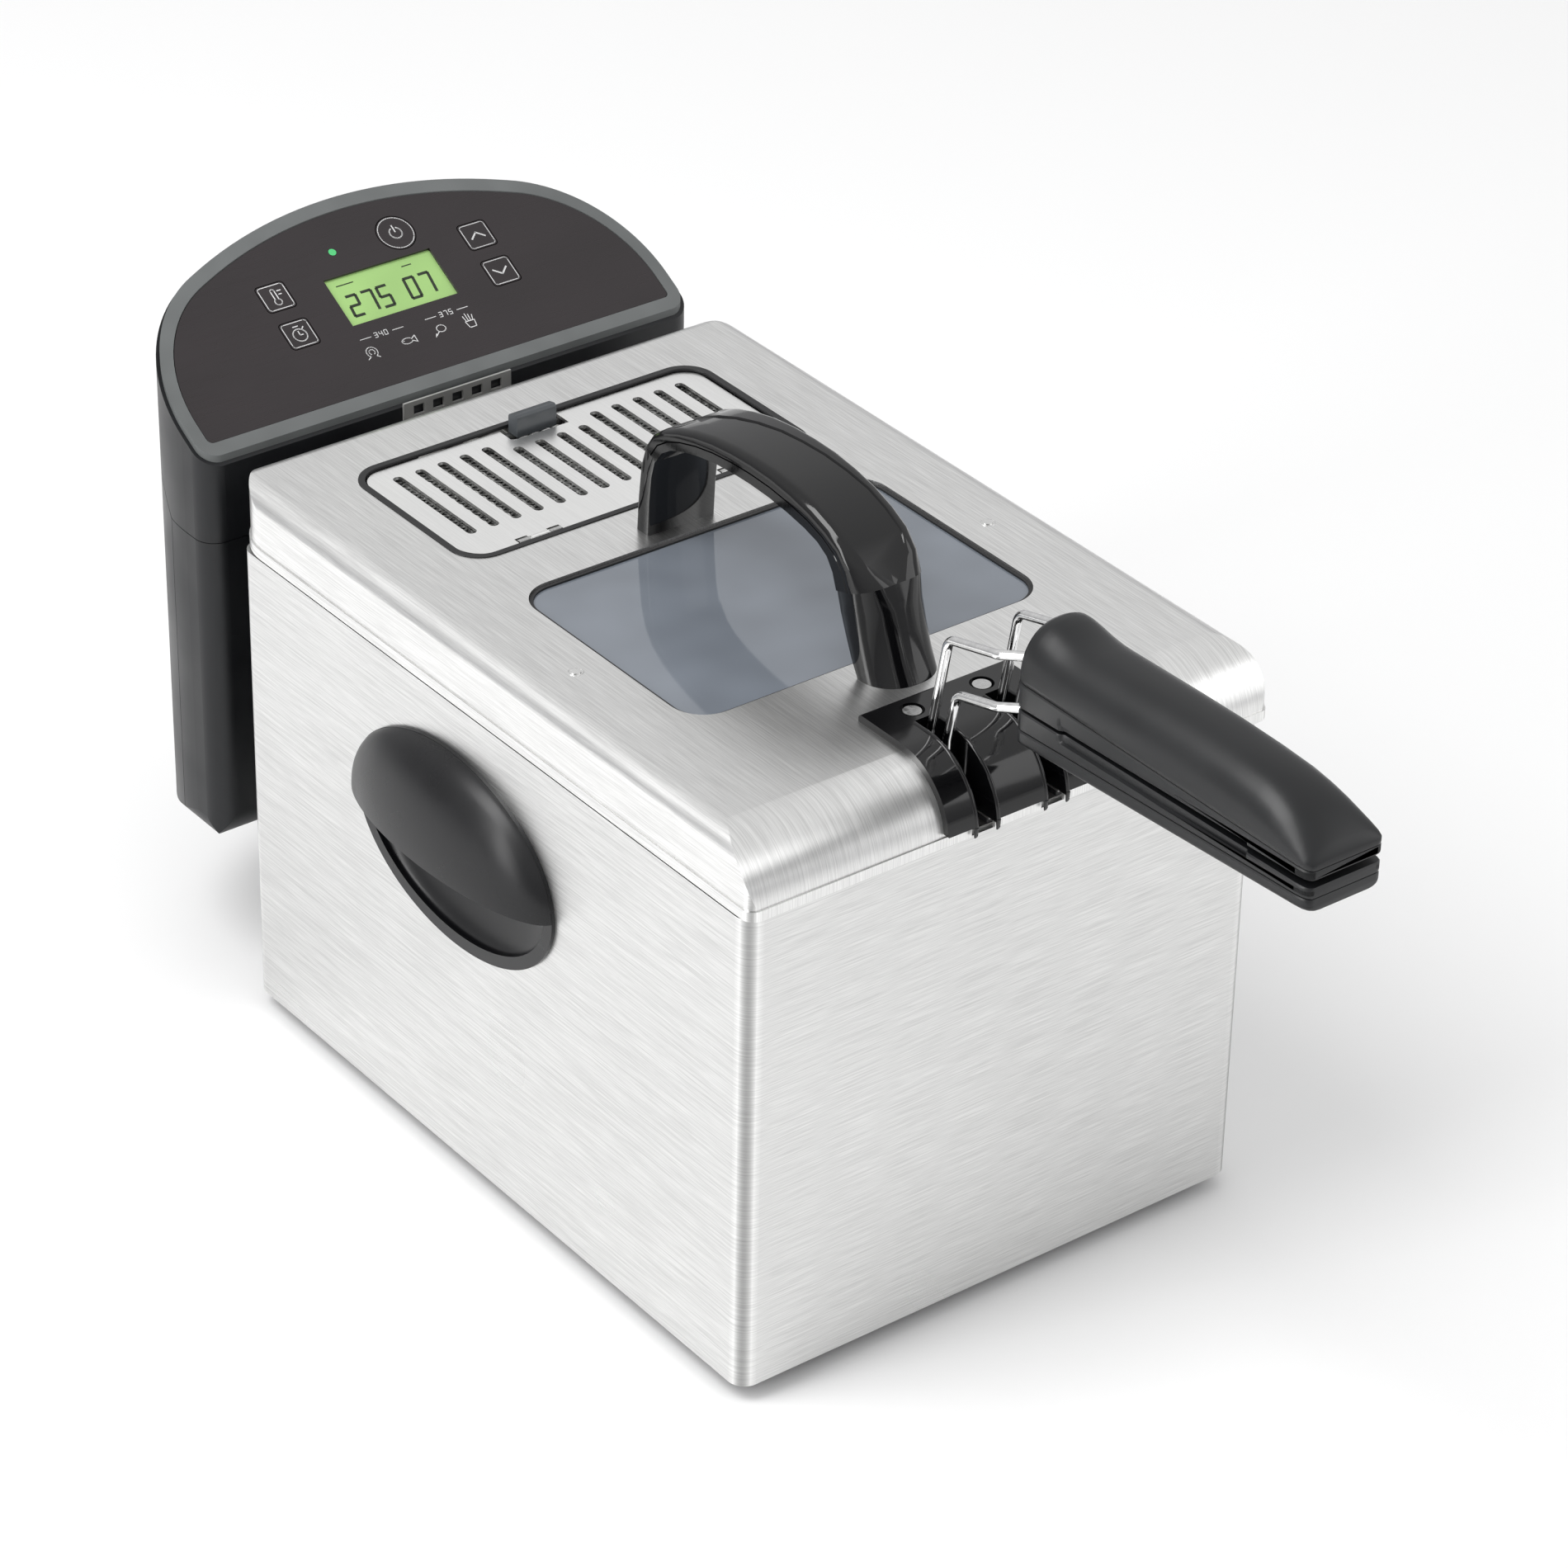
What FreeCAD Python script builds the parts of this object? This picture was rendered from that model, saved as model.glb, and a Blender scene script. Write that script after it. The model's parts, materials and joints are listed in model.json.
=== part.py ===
import FreeCAD, Part
import math
import os
import re
import Sketcher

# Household deep fryer: a stainless housing with an oil pot, a lift-off lid, a basket whose
# handle comes up through slots in the lid, and a control unit hung on the back.
#
# Every piece is drawn in housing coordinates: X = 0 on the plane of symmetry, Y = 0 at the
# housing's front wall (the control unit is at +Y), Z = 0 at the housing's bottom edge.
# Each piece's own Placement then moves it into the part's frame, whose origin is at the
# centre of the bounding box on the surface that the feet stand on.

doc = FreeCAD.newDocument("DeepFryer")

# ---------------------------------------------------------------- driving dimensions (mm)

SIZES = [
    # housing
    ("housing_width", 230), ("housing_depth", 318), ("housing_height", 198),
    ("housing_corner", 7), ("housing_gauge", 1.2), ("rim_flange", 6),
    ("base_thickness", 2.5), ("base_fit", 0.2), ("base_slot_length", 60),
    ("base_slot_width", 5), ("base_slot_pitch", 14),
    ("foot_height", 7), ("foot_radius", 9), ("foot_tip_radius", 7.5), ("foot_inset", 17),
    # oil pot
    ("pot_side_margin", 15), ("pot_rear_margin", 10), ("pot_base_gap", 28.3), ("pot_front", 12),
    ("pot_corner", 30), ("pot_floor_radius", 12), ("pot_gauge", 0.8), ("pot_flange_margin", 2),
    ("pot_flange_corner", 6),
    # side handles
    ("handle_centre_y", 176), ("handle_drop", 60), ("hood_half_length", 63),
    ("hood_half_height", 41), ("hood_bulge", 18), ("dish_depth", 11), ("hood_wall", 2.4),
    ("handle_flange", 1.5), ("handle_fit", 0.4),
    # lid
    ("lid_gap", 0.8), ("lid_height", 26.4), ("lid_front_overhang", 2), ("lid_rear_overhang", 9),
    ("lid_side_overhang", 0.4), ("lid_front_radius", 25), ("lid_edge_radius", 8),
    ("lid_rear_corner", 25), ("lid_front_corner", 4), ("lid_gauge", 1),
    ("hem_height", 4), ("hem_proud", 0.6),
    ("pan_gauge", 1), ("pan_margin", 3), ("gasket_width", 8), ("gasket_height", 2),
    ("gasket_seat", 0.3), ("notch_half_width", 29), ("notch_height", 17),
    # window
    ("window_width", 159), ("window_vent_gap", 26), ("window_front", 79), ("window_corner", 14),
    ("glass_thickness", 4), ("glass_margin", 5), ("seal_thickness", 0.8), ("seal_lip", 1.6),
    ("collar_wall", 1.2),
    # lid handle
    ("strap_width", 30.5), ("strap_front", 54), ("strap_rear_gap", 14), ("strap_rise", 60),
    ("strap_front_leg", 16.5), ("strap_rear_leg", 8), ("strap_shoulder_drop", 10),
    ("strap_thickness", 9), ("strap_cover", 5), ("strap_crown_radius", 150),
    ("strap_front_radius", 20), ("strap_rear_radius", 14), ("strap_lean", 19),
    ("strap_rear_lean", 6), ("strap_crown_shift", 0.5), ("strap_crown_sag", 18.5),
    ("seam", 0.3),
    ("strap_screw_radius", 1.8), ("strap_screw_depth", 12), ("strap_screw_half_pitch", 8),
    # saddle over the lid's front edge and the two wire slots
    ("saddle_width", 65), ("saddle_rear", 47), ("saddle_thickness", 3), ("saddle_skirt", 1),
    ("slot_width", 8), ("slot_rear", 32), ("slot_liner", 1.2), ("wire_half_pitch", 15.5), ("wire_grip_x", 10.5), ("wire_jog_reach", 6.5),
    ("saddle_screw_y", 38.5), ("saddle_bore", 4.5), ("saddle_screw_head", 3.4),
    ("saddle_bore_depth", 1.6),
    # vent in the lid
    ("vent_width", 161), ("vent_length", 83), ("vent_back_margin", 29), ("vent_corner", 13),
    ("vent_seal_width", 2.6), ("vent_seal_proud", 0.4), ("cover_gap", 1), ("cover_gauge", 1.2),
    ("cover_recess", 0.8), ("cover_corner", 9), ("cover_front_corner", 12.5), ("vent_slot_pitch", 10), ("vent_slot_width", 4),
    ("vent_slot_inset", 20), ("vent_slot_rear_inset", 11), ("vent_slot_short_inset", 17.5),
    ("tab_notch_half", 13), ("tab_notch_depth", 9),
    ("tab_half_width", 9), ("tab_rise", 7.5), ("tab_thickness", 6),
    ("knuckle_radius", 1.2), ("hinge_back", 1.8), ("hinge_drop", 0.6), ("hinge_pin_radius", 0.7), ("running_fit", 0.05),
    ("knuckle_length", 8), ("knuckle_x", 46), ("hinge_sweep", 2.2), ("lug_length", 5),
    ("knuckle_gap", 0.4),
    ("frame_wall", 2), ("frame_ledge", 4), ("mesh_gauge", 1), ("mesh_drop", 3.2),
    ("charcoal_thickness", 8), ("rivet_x", 93), ("rivet_y", 131), ("rivet_radius", 1.9),
    ("rivet_rise", 0.4),
    # basket and its handle
    ("basket_side_gap", 16), ("basket_rear_gap", 34.3), ("basket_rim_drop", 48.8), ("basket_front", 34),
    ("basket_over_floor", 19.2), ("basket_corner", 26), ("basket_wall", 1.5), ("rim_wire_radius", 2),
    ("wire_diameter", 3.6), ("wire_bend", 6), ("wire_fit", 0.15),
    ("upper_bend_y", 20), ("upper_bend_rise", 40), ("upper_base_y", 27.5), ("upper_foot_y", 30.3),
    ("upper_grip_rise", 49.5), ("lower_bend_y", 14.5), ("lower_bend_rise", 20.5),
    ("lower_base_y", 18.5), ("lower_grip_rise", 29), ("wire_base_rise", 1), ("wire_insert", 38),
    ("pivot_y", 26.2), ("pivot_drop", 55.8), ("pivot_half_width", 24), ("eye_x", 8),
    ("eye_radius", 3.4), ("eye_width", 3), ("jog_drop", 38.8),
    ("grip_reach", 165), ("grip_start", 17.5), ("grip_width", 33), ("grip_plan_corner", 7),
    ("grip_top_rise", 62), ("grip_lip", 2), ("grip_lip_length", 14), ("grip_nose_rise", 46),
    ("grip_nose_length", 24), ("grip_part_rise", 42), ("grip_gap_rear_rise", 32.4),
    ("grip_gap_tip_rise", 38.6), ("grip_gap_rear", 1), ("grip_gap_tip", 2.9),
    ("grip_lower_part_rear_rise", 23.8), ("grip_lower_part_tip_rise", 31.6),
    ("grip_bottom_rear_rise", 17.5), ("grip_bottom_tip_rise", 26.5), ("grip_edge_radius", 8),
    ("grip_screw_radius", 1.6), ("grip_screw_head", 2.8),
    # control unit
    ("tower_gap", 25), ("tower_depth", 86), ("tower_half_width", 114), ("tower_bottom", 50),
    ("tower_front_corner", 9), ("tower_shoulder", 60), ("tower_rear_radius", 205),
    ("tower_rear_slope", 20), ("tower_bottom_front_radius", 14), ("tower_bottom_rear_radius", 30),
    ("tower_bottom_side_radius", 10), ("tower_wall", 2.5), ("head_over_rim", 22.2),
    ("panel_tilt", 28.5), ("head_seam_drop", 13.8), ("tower_split", 28), ("split_rise", 12),
    ("bezel_inset", 1.5), ("bezel_ring", 5.2), ("bezel_thickness", 2.6), ("overlay_thickness", 1.5),
    ("overlay_recess", 0.2), ("overlay_fit", 0.3),
    ("lcd_width", 49.5), ("lcd_height", 23.3), ("lcd_low", 38), ("lcd_thickness", 3),
    ("lcd_margin", 3), ("key_size", 12.5), ("key_corner", 1.5), ("key_fit", 0.4),
    ("key_length", 6.6), ("key_switch_gap", 0.7),
    ("side_key_x", 47), ("upper_key_v", 60.5), ("lower_key_v", 41.8), ("start_key_x", 15.6),
    ("start_key_v", 72.4), ("start_key_radius", 8), ("lamp_x", 14), ("lamp_v", 72.4),
    ("lamp_radius", 1.6), ("board_depth", 8.4), ("board_thickness", 1.6), ("board_width", 124),
    ("board_low", 12), ("board_high", 79),
    ("block_half_width", 38), ("block_bottom", 70), ("block_drop", 33.8), ("block_gap", 0.6),
    ("rail_width", 9), ("rail_thickness", 2), ("rail_drop", 28), ("rail_bottom", 40),
    ("rail_play", 0.6), ("rail_depth", 12),
    ("element_radius", 3.2), ("element_half_pitch", 14), ("element_over_rim", 7.2),
    ("riser_inset", 5.7), ("element_over_floor", 11.2), ("element_bend", 10),
    ("element_outer_x", 62), ("element_inner_x", 20), ("element_front_y", 50),
    ("element_back_gap", 22.3), ("element_mid_gap", 50.3), ("element_tail", 12),
    ("bracket_half_width", 25), ("bracket_gauge", 1), ("bracket_over_rim", 1.4),
    ("bracket_gap", 4.9), ("bracket_over_floor", 29.2), ("bracket_back_rise", 21.2),
    ("bracket_slot", 5), ("probe_radius", 1.8), ("probe_over_floor", 31.2),
    ("inlet_half_width", 16), ("inlet_z", 88), ("inlet_height", 24), ("inlet_depth", 20),
    ("inlet_inset", 1.2), ("inlet_wall", 3), ("inlet_cavity", 13), ("inlet_fit", 0.3),
    ("inlet_pin_radius", 1.6), ("inlet_pin_length", 8), ("inlet_pin_half_pitch", 5.5),
    ("reset_x", 38), ("reset_z", 88), ("reset_radius", 3), ("reset_length", 9),
    ("reset_travel", 1.5), ("reset_proud", 0.4), ("reset_sleeve_gap", 0.35),
    ("cover_screw_x", 70), ("cover_screw_low", 75), ("cover_screw_drop", 18.8),
    ("cover_screw_head", 3.2), ("cover_screw_shank", 1.5), ("boss_wall", 2), ("boss_depth", 12),
    ("power_board_back", 49), ("power_board_low", 105), ("power_board_high", 165),
    ("power_board_half", 60),
]
NAMES = [name for name, _ in SIZES]

sheet = doc.addObject("Spreadsheet::Sheet", "sizes")
for row, (name, value) in enumerate(SIZES, start=1):
    sheet.set("A%d" % row, name)
    sheet.set("B%d" % row, str(value))
    sheet.setAlias("B%d" % row, name)
doc.recompute()

# ---------------------------------------------------------------- places worked out from sizes

# named places that several pieces share, each measured from the piece it belongs to
PLACES = {
    "pot_rim": "(housing_height + pot_gauge)",
    "lid_top": "(pot_rim + lid_gap + lid_height)",
    "lid_rear": "(housing_depth + lid_rear_overhang)",
    "pot_floor": "(base_thickness + pot_base_gap)",
    "pot_rear": "(housing_depth - pot_rear_margin)",
    "pot_half": "(housing_width / 2 - pot_side_margin)",
    "element_riser_y": "(pot_rear - riser_inset)",
    "element_back_y": "(element_riser_y - element_back_gap)",
    "element_mid_y": "(element_riser_y - element_mid_gap)",
    "element_z": "(pot_rim + element_over_rim)",
    "element_floor_z": "(pot_floor + element_over_floor)",
    "probe_foot_z": "(pot_floor + probe_over_floor)",
    "bracket_front_y": "(element_riser_y - bracket_gap)",
    "bracket_z": "(pot_rim + bracket_over_rim)",
    "bracket_top": "(pot_rim + bracket_back_rise)",
    "bracket_foot_z": "(pot_floor + bracket_over_floor)",
    "basket_rear": "(element_riser_y - basket_rear_gap)",
    "basket_half": "(pot_half - basket_side_gap)",
    "basket_floor": "(pot_floor + basket_over_floor)",
    "pivot_z": "(pot_rim - pivot_drop)",
    "jog_z": "(pot_rim - jog_drop)",
    "vent_rear": "(lid_rear - vent_back_margin)",
    "vent_front": "(vent_rear - vent_length)",
    "vent_slot_front": "(vent_front + vent_slot_inset)",
    "vent_slot_rear": "(vent_rear - vent_slot_rear_inset)",
    "vent_slot_rear_short": "(vent_rear - vent_slot_short_inset)",
    "window_rear": "(vent_front - window_vent_gap)",
    "strap_rear": "(window_rear + strap_rear_gap)",
    "strap_crown_y": "((strap_front + strap_rear) / 2 - strap_crown_shift)",
    "strap_crown": "min(strap_crown_radius; (strap_rear - strap_front)^2 / (8 * strap_crown_sag))",
    "wire_base_z": "(lid_top + wire_base_rise)",
    "upper_bend_z": "(lid_top + upper_bend_rise)",
    "upper_grip_z": "(lid_top + upper_grip_rise)",
    "lower_bend_z": "(lid_top + lower_bend_rise)",
    "lower_grip_z": "(lid_top + lower_grip_rise)",
    "grip_top": "(lid_top + grip_top_rise)",
    "grip_nose_z": "(lid_top + grip_nose_rise)",
    "grip_part_z": "(lid_top + grip_part_rise)",
    "grip_gap_rear_z": "(lid_top + grip_gap_rear_rise)",
    "grip_gap_tip_z": "(lid_top + grip_gap_tip_rise)",
    "grip_lower_part_rear_z": "(lid_top + grip_lower_part_rear_rise)",
    "grip_lower_part_tip_z": "(lid_top + grip_lower_part_tip_rise)",
    "grip_bottom_rear_z": "(lid_top + grip_bottom_rear_rise)",
    "grip_bottom_tip_z": "(lid_top + grip_bottom_tip_rise)",
    "handle_centre_z": "(housing_height - handle_drop)",
    "head_front_height": "(pot_rim + head_over_rim)",
    "split_y": "(housing_depth + tower_gap + tower_split)",
    "power_board_y": "(housing_depth + tower_gap + power_board_back)",
    "head_seam_z": "(pot_rim - head_seam_drop)",
    "block_top": "(pot_rim - block_drop)",
    "cover_screw_high": "(pot_rim - cover_screw_drop)",
}

ALIAS = re.compile(r"\b(" + "|".join(sorted(NAMES, key=len, reverse=True)) + r")\b")
PLACE = re.compile(r"\b(" + "|".join(sorted(PLACES, key=len, reverse=True)) + r")\b")


def full(expression):
    """The expression in terms of the sheet's own cells."""
    text = str(expression)
    while PLACE.search(text):
        text = PLACE.sub(lambda match: PLACES[match.group(1)], text)
    return ALIAS.sub(r"sizes.\1", text)


def number(expression):
    """The expression's present value, in millimetres or degrees."""
    return float(sheet.evalExpression(full(expression)))


def bind(thing, prop, expression):
    thing.setExpression(prop, full(expression))


FRONT = "((grip_reach - housing_depth - tower_gap - tower_depth) / 2)"
HALF_WIDTH = "(housing_width / 2)"
POT_RIM = "pot_rim"
POT_REAR = "pot_rear"
POT_FLOOR = "pot_floor"
LID_BOTTOM = f"({POT_RIM} + lid_gap)"
LID_TOP = "lid_top"
LID_REAR = "lid_rear"
LID_SIDE = "(housing_width / 2 + lid_side_overhang)"
PAN_Z = f"({POT_RIM} + gasket_seat + gasket_height)"
SHEET_UNDER = f"({LID_TOP} - lid_gauge)"
GLASS_TOP = f"({SHEET_UNDER} - seal_thickness)"
COVER_TOP = f"({LID_TOP} - cover_recess)"
COVER_UNDER = f"({COVER_TOP} - cover_gauge)"
COVER_FRONT = "(vent_front + vent_seal_width + cover_gap)"
COVER_REAR = "(vent_rear - vent_seal_width - cover_gap)"
COVER_HALF = "(vent_width / 2 - vent_seal_width - cover_gap)"
HINGE_Y = f"({COVER_FRONT} + hinge_back)"
HINGE_Z = f"({COVER_TOP} - hinge_drop)"
BASKET_RIM = "(pot_rim - basket_rim_drop)"
TOWER_FRONT = "(housing_depth + tower_gap)"
TOWER_REAR = "(housing_depth + tower_gap + tower_depth)"
TILT = "(panel_tilt * 1deg)"

# ---------------------------------------------------------------- drawing helpers

# rotation of a sketch into each plane, the way it is extruded, and the axis it is shifted on
PLANES = {
    "XY": (FreeCAD.Rotation(), FreeCAD.Vector(0, 0, 1), "z"),
    "XZ": (FreeCAD.Rotation(FreeCAD.Vector(1, 0, 0), 90), FreeCAD.Vector(0, 1, 0), "y"),
    "YZ": (FreeCAD.Rotation(0.5, 0.5, 0.5, 0.5), FreeCAD.Vector(1, 0, 0), "x"),
}


def datum(sketch, constraint, expression):
    index = sketch.addConstraint(constraint)
    bind(sketch, "Constraints[%d]" % index, expression)


def draw_outline(sketch, corners):
    """Draws a closed outline, anticlockwise: each corner is (u, v) or (u, v, radius)."""
    count = len(corners)
    points = [FreeCAD.Vector(number(c[0]), number(c[1]), 0) for c in corners]
    ends = []
    for i, corner in enumerate(corners):
        if len(corner) == 2:
            ends.append((points[i], points[i], points[i]))
            continue
        radius = number(corner[2])
        back = (points[i - 1] - points[i]).normalize()
        ahead = (points[(i + 1) % count] - points[i]).normalize()
        angle = back.getAngle(ahead)
        reach = radius / math.tan(angle / 2)
        toward = (back + ahead).normalize()
        middle = points[i] + toward * (radius / math.sin(angle / 2) - radius)
        ends.append((points[i] + back * reach, middle, points[i] + ahead * reach))
    lines = []
    for i in range(count):
        line = Part.LineSegment(ends[i][2], ends[(i + 1) % count][0])
        lines.append(sketch.addGeometry(line, False))
    for i, corner in enumerate(corners):
        vertex = sketch.addGeometry(Part.Point(points[i]), True)
        datum(sketch, Sketcher.Constraint("DistanceX", -1, 1, vertex, 1, points[i].x), corner[0])
        datum(sketch, Sketcher.Constraint("DistanceY", -1, 1, vertex, 1, points[i].y), corner[1])
        if len(corner) == 2:
            sketch.addConstraint(Sketcher.Constraint("Coincident", lines[i], 1, vertex, 1))
            sketch.addConstraint(Sketcher.Constraint("Coincident", lines[i - 1], 2, vertex, 1))
            continue
        arc = sketch.addGeometry(Part.Arc(*ends[i]), False)
        near = sketch.Geometry[arc].StartPoint.distanceToPoint(ends[i][0]) < 1e-6
        first, second = (1, 2) if near else (2, 1)
        sketch.addConstraint(Sketcher.Constraint("PointOnObject", vertex, 1, lines[i]))
        sketch.addConstraint(Sketcher.Constraint("PointOnObject", vertex, 1, lines[i - 1]))
        sketch.addConstraint(Sketcher.Constraint("Tangent", lines[i - 1], 2, arc, first))
        sketch.addConstraint(Sketcher.Constraint("Tangent", arc, second, lines[i], 1))
        datum(sketch, Sketcher.Constraint("Radius", arc, number(corner[2])), corner[2])


def draw_circle(sketch, u, v, radius):
    centre = FreeCAD.Vector(number(u), number(v), 0)
    circle = Part.Circle(centre, FreeCAD.Vector(0, 0, 1), number(radius))
    index = sketch.addGeometry(circle, False)
    datum(sketch, Sketcher.Constraint("DistanceX", -1, 1, index, 3, centre.x), u)
    datum(sketch, Sketcher.Constraint("DistanceY", -1, 1, index, 3, centre.y), v)
    datum(sketch, Sketcher.Constraint("Radius", index, number(radius)), radius)


def draw(sketch, shapes):
    """Draws outlines (lists of corners) and circles (tuples of u, v, radius)."""
    for shape in shapes:
        if isinstance(shape, tuple):
            draw_circle(sketch, *shape)
        else:
            draw_outline(sketch, shape)


def rectangle(left, right, low, high, radius=None):
    corners = [(left, low), (right, low), (right, high), (left, high)]
    if radius is None:
        return corners
    return [corner + (radius,) for corner in corners]


def prism(plane, start, end, *shapes):
    """A straight extrusion of sketched shapes from one level to another."""
    rotation, direction, axis = PLANES[plane]
    sketch = doc.addObject("Sketcher::SketchObject", "Outline")
    sketch.Placement = FreeCAD.Placement(FreeCAD.Vector(), rotation)
    bind(sketch, "Placement.Base." + axis, start)
    draw(sketch, shapes)
    solid = doc.addObject("Part::Extrusion", "Prism")
    solid.Base = sketch
    solid.DirMode = "Custom"
    solid.Dir = direction
    solid.Solid = True
    bind(solid, "LengthFwd", f"({end}) - ({start})")
    return solid


def panel_prism(start, end, *shapes):
    """An extrusion square to the tilted panel; depths are counted up from its top face."""
    sketch = doc.addObject("Sketcher::SketchObject", "PanelOutline")
    tilt = FreeCAD.Rotation(FreeCAD.Vector(1, 0, 0), number("panel_tilt"))
    sketch.Placement = FreeCAD.Placement(FreeCAD.Vector(), tilt)
    bind(sketch, "Placement.Rotation.Angle", "panel_tilt")
    bind(sketch, "Placement.Base.y", f"{TOWER_FRONT} - ({start}) * sin{TILT}")
    bind(sketch, "Placement.Base.z", f"head_front_height + ({start}) * cos{TILT}")
    draw(sketch, shapes)
    solid = doc.addObject("Part::Extrusion", "PanelPrism")
    solid.Base = sketch
    solid.DirMode = "Normal"
    solid.Solid = True
    bind(solid, "LengthFwd", f"({end}) - ({start})")
    return solid


def block(x0, x1, y0, y1, z0, z1):
    box = doc.addObject("Part::Box", "Block")
    for size, low, high in (("Length", x0, x1), ("Width", y0, y1), ("Height", z0, z1)):
        bind(box, size, f"({high}) - ({low})")
    for axis, low in (("x", x0), ("y", y0), ("z", z0)):
        bind(box, "Placement.Base." + axis, low)
    return box


ALONG = {
    "x": FreeCAD.Rotation(FreeCAD.Vector(0, 1, 0), 90),
    "y": FreeCAD.Rotation(FreeCAD.Vector(1, 0, 0), -90),
    "z": FreeCAD.Rotation(),
}


def rod(axis, x, y, z, radius, length):
    """A cylinder that starts at (x, y, z) and runs along the positive axis."""
    cylinder = doc.addObject("Part::Cylinder", "Rod")
    cylinder.Placement = FreeCAD.Placement(FreeCAD.Vector(), ALONG[axis])
    bind(cylinder, "Radius", radius)
    bind(cylinder, "Height", length)
    for name, place in (("x", x), ("y", y), ("z", z)):
        bind(cylinder, "Placement.Base." + name, place)
    return cylinder


def fuse(*parts):
    if len(parts) == 1:
        return parts[0]
    joined = doc.addObject("Part::MultiFuse", "Joined")
    joined.Shapes = list(parts)
    return joined


def common(*parts):
    shared = doc.addObject("Part::MultiCommon", "Shared")
    shared.Shapes = list(parts)
    return shared


def cut(base, *tools):
    result = doc.addObject("Part::Cut", "Cut")
    result.Base = base
    result.Tool = fuse(*tools)
    return result


def mirrored(part):
    """The part's mirror image across the plane of symmetry, X = 0."""
    image = doc.addObject("Part::Mirroring", "Mirrored")
    image.Source = part
    image.Base = FreeCAD.Vector(0, 0, 0)
    image.Normal = FreeCAD.Vector(1, 0, 0)
    return image


nodes = {}


def node(label, piece):
    """Names a finished piece and moves it from housing coordinates into the part's frame."""
    piece.Label = label
    bind(piece, "Placement.Base.y", FRONT)
    bind(piece, "Placement.Base.z", "foot_height")
    nodes[label] = piece
    return piece


class Moulding:
    """A PartDesign body made of pads and pockets, drawn in housing or panel coordinates."""

    def __init__(self, label, on_panel=False):
        self.body = doc.addObject("PartDesign::Body", label)
        self.body.Label = label
        if on_panel:
            tilt = FreeCAD.Rotation(FreeCAD.Vector(1, 0, 0), number("panel_tilt"))
            self.body.Placement = FreeCAD.Placement(FreeCAD.Vector(), tilt)
            bind(self.body, "Placement.Rotation.Angle", "panel_tilt")
            bind(self.body, "Placement.Base.y", f"{FRONT} + {TOWER_FRONT}")
            bind(self.body, "Placement.Base.z", "foot_height + head_front_height")
        else:
            bind(self.body, "Placement.Base.y", FRONT)
            bind(self.body, "Placement.Base.z", "foot_height")
        nodes[label] = self.body

    def sketch(self, plane, start, shapes):
        roles = {feature.Role: feature for feature in self.body.Origin.OriginFeatures}
        sketch = self.body.newObject("Sketcher::SketchObject", self.body.Label + "_outline")
        sketch.AttachmentSupport = (roles[plane + "_Plane"], [""])
        sketch.MapMode = "FlatFace"
        sign = "-" if plane == "XZ" else ""
        bind(sketch, "AttachmentOffset.Base.z", f"{sign}({start})")
        draw(sketch, shapes)
        return sketch

    def pad(self, plane, start, end, *shapes):
        """Adds material from start to end along the axis square to the plane."""
        sketch = self.sketch(plane, start, shapes)
        feature = self.body.newObject("PartDesign::Pad", self.body.Label + "_pad")
        feature.Profile = sketch
        feature.Reversed = plane == "XZ"
        bind(feature, "Length", f"({end}) - ({start})")
        return self

    def pocket(self, plane, start, end, *shapes):
        """Takes material away from start to end along the axis square to the plane."""
        doc.recompute()
        before = self.body.Shape.Volume
        sketch = self.sketch(plane, start, shapes)
        feature = self.body.newObject("PartDesign::Pocket", self.body.Label + "_pocket")
        feature.Profile = sketch
        feature.Reversed = plane != "XZ"
        bind(feature, "Length", f"({end}) - ({start})")
        doc.recompute()
        if self.body.Shape.Volume > before - 1e-3:
            raise RuntimeError(self.body.Label + ": a pocket cuts nothing")
        return self

    def round_edges(self, radius, wanted):
        """Fillets the edges for which wanted(edge) holds."""
        doc.recompute()
        tip = self.body.Tip
        chosen = []
        for index, edge in enumerate(tip.Shape.Edges, start=1):
            if wanted(edge):
                chosen.append("Edge%d" % index)
        feature = self.body.newObject("PartDesign::Fillet", self.body.Label + "_round")
        feature.Base = (tip, chosen)
        bind(feature, "Radius", radius)
        return self

    def hollow(self, gauge, open_level):
        """Turns the body into a wall of one gauge, open at the flat face at open_level."""
        doc.recompute()
        tip = self.body.Tip
        level = number(open_level)
        mouths = []
        for index, face in enumerate(tip.Shape.Faces, start=1):
            box = face.BoundBox
            if abs(box.ZMin - level) < 1e-3 and abs(box.ZMax - level) < 1e-3:
                mouths.append("Face%d" % index)
        feature = self.body.newObject("PartDesign::Thickness", self.body.Label + "_hollow")
        feature.Base = (tip, mouths)
        feature.Reversed = True
        bind(feature, "Value", gauge)
        return self


def at_level(z):
    """Picks edges that lie flat at one height."""
    level = number(z)

    def wanted(edge):
        box = edge.BoundBox
        return abs(box.ZMin - level) < 1e-3 and abs(box.ZMax - level) < 1e-3
    return wanted


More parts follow.
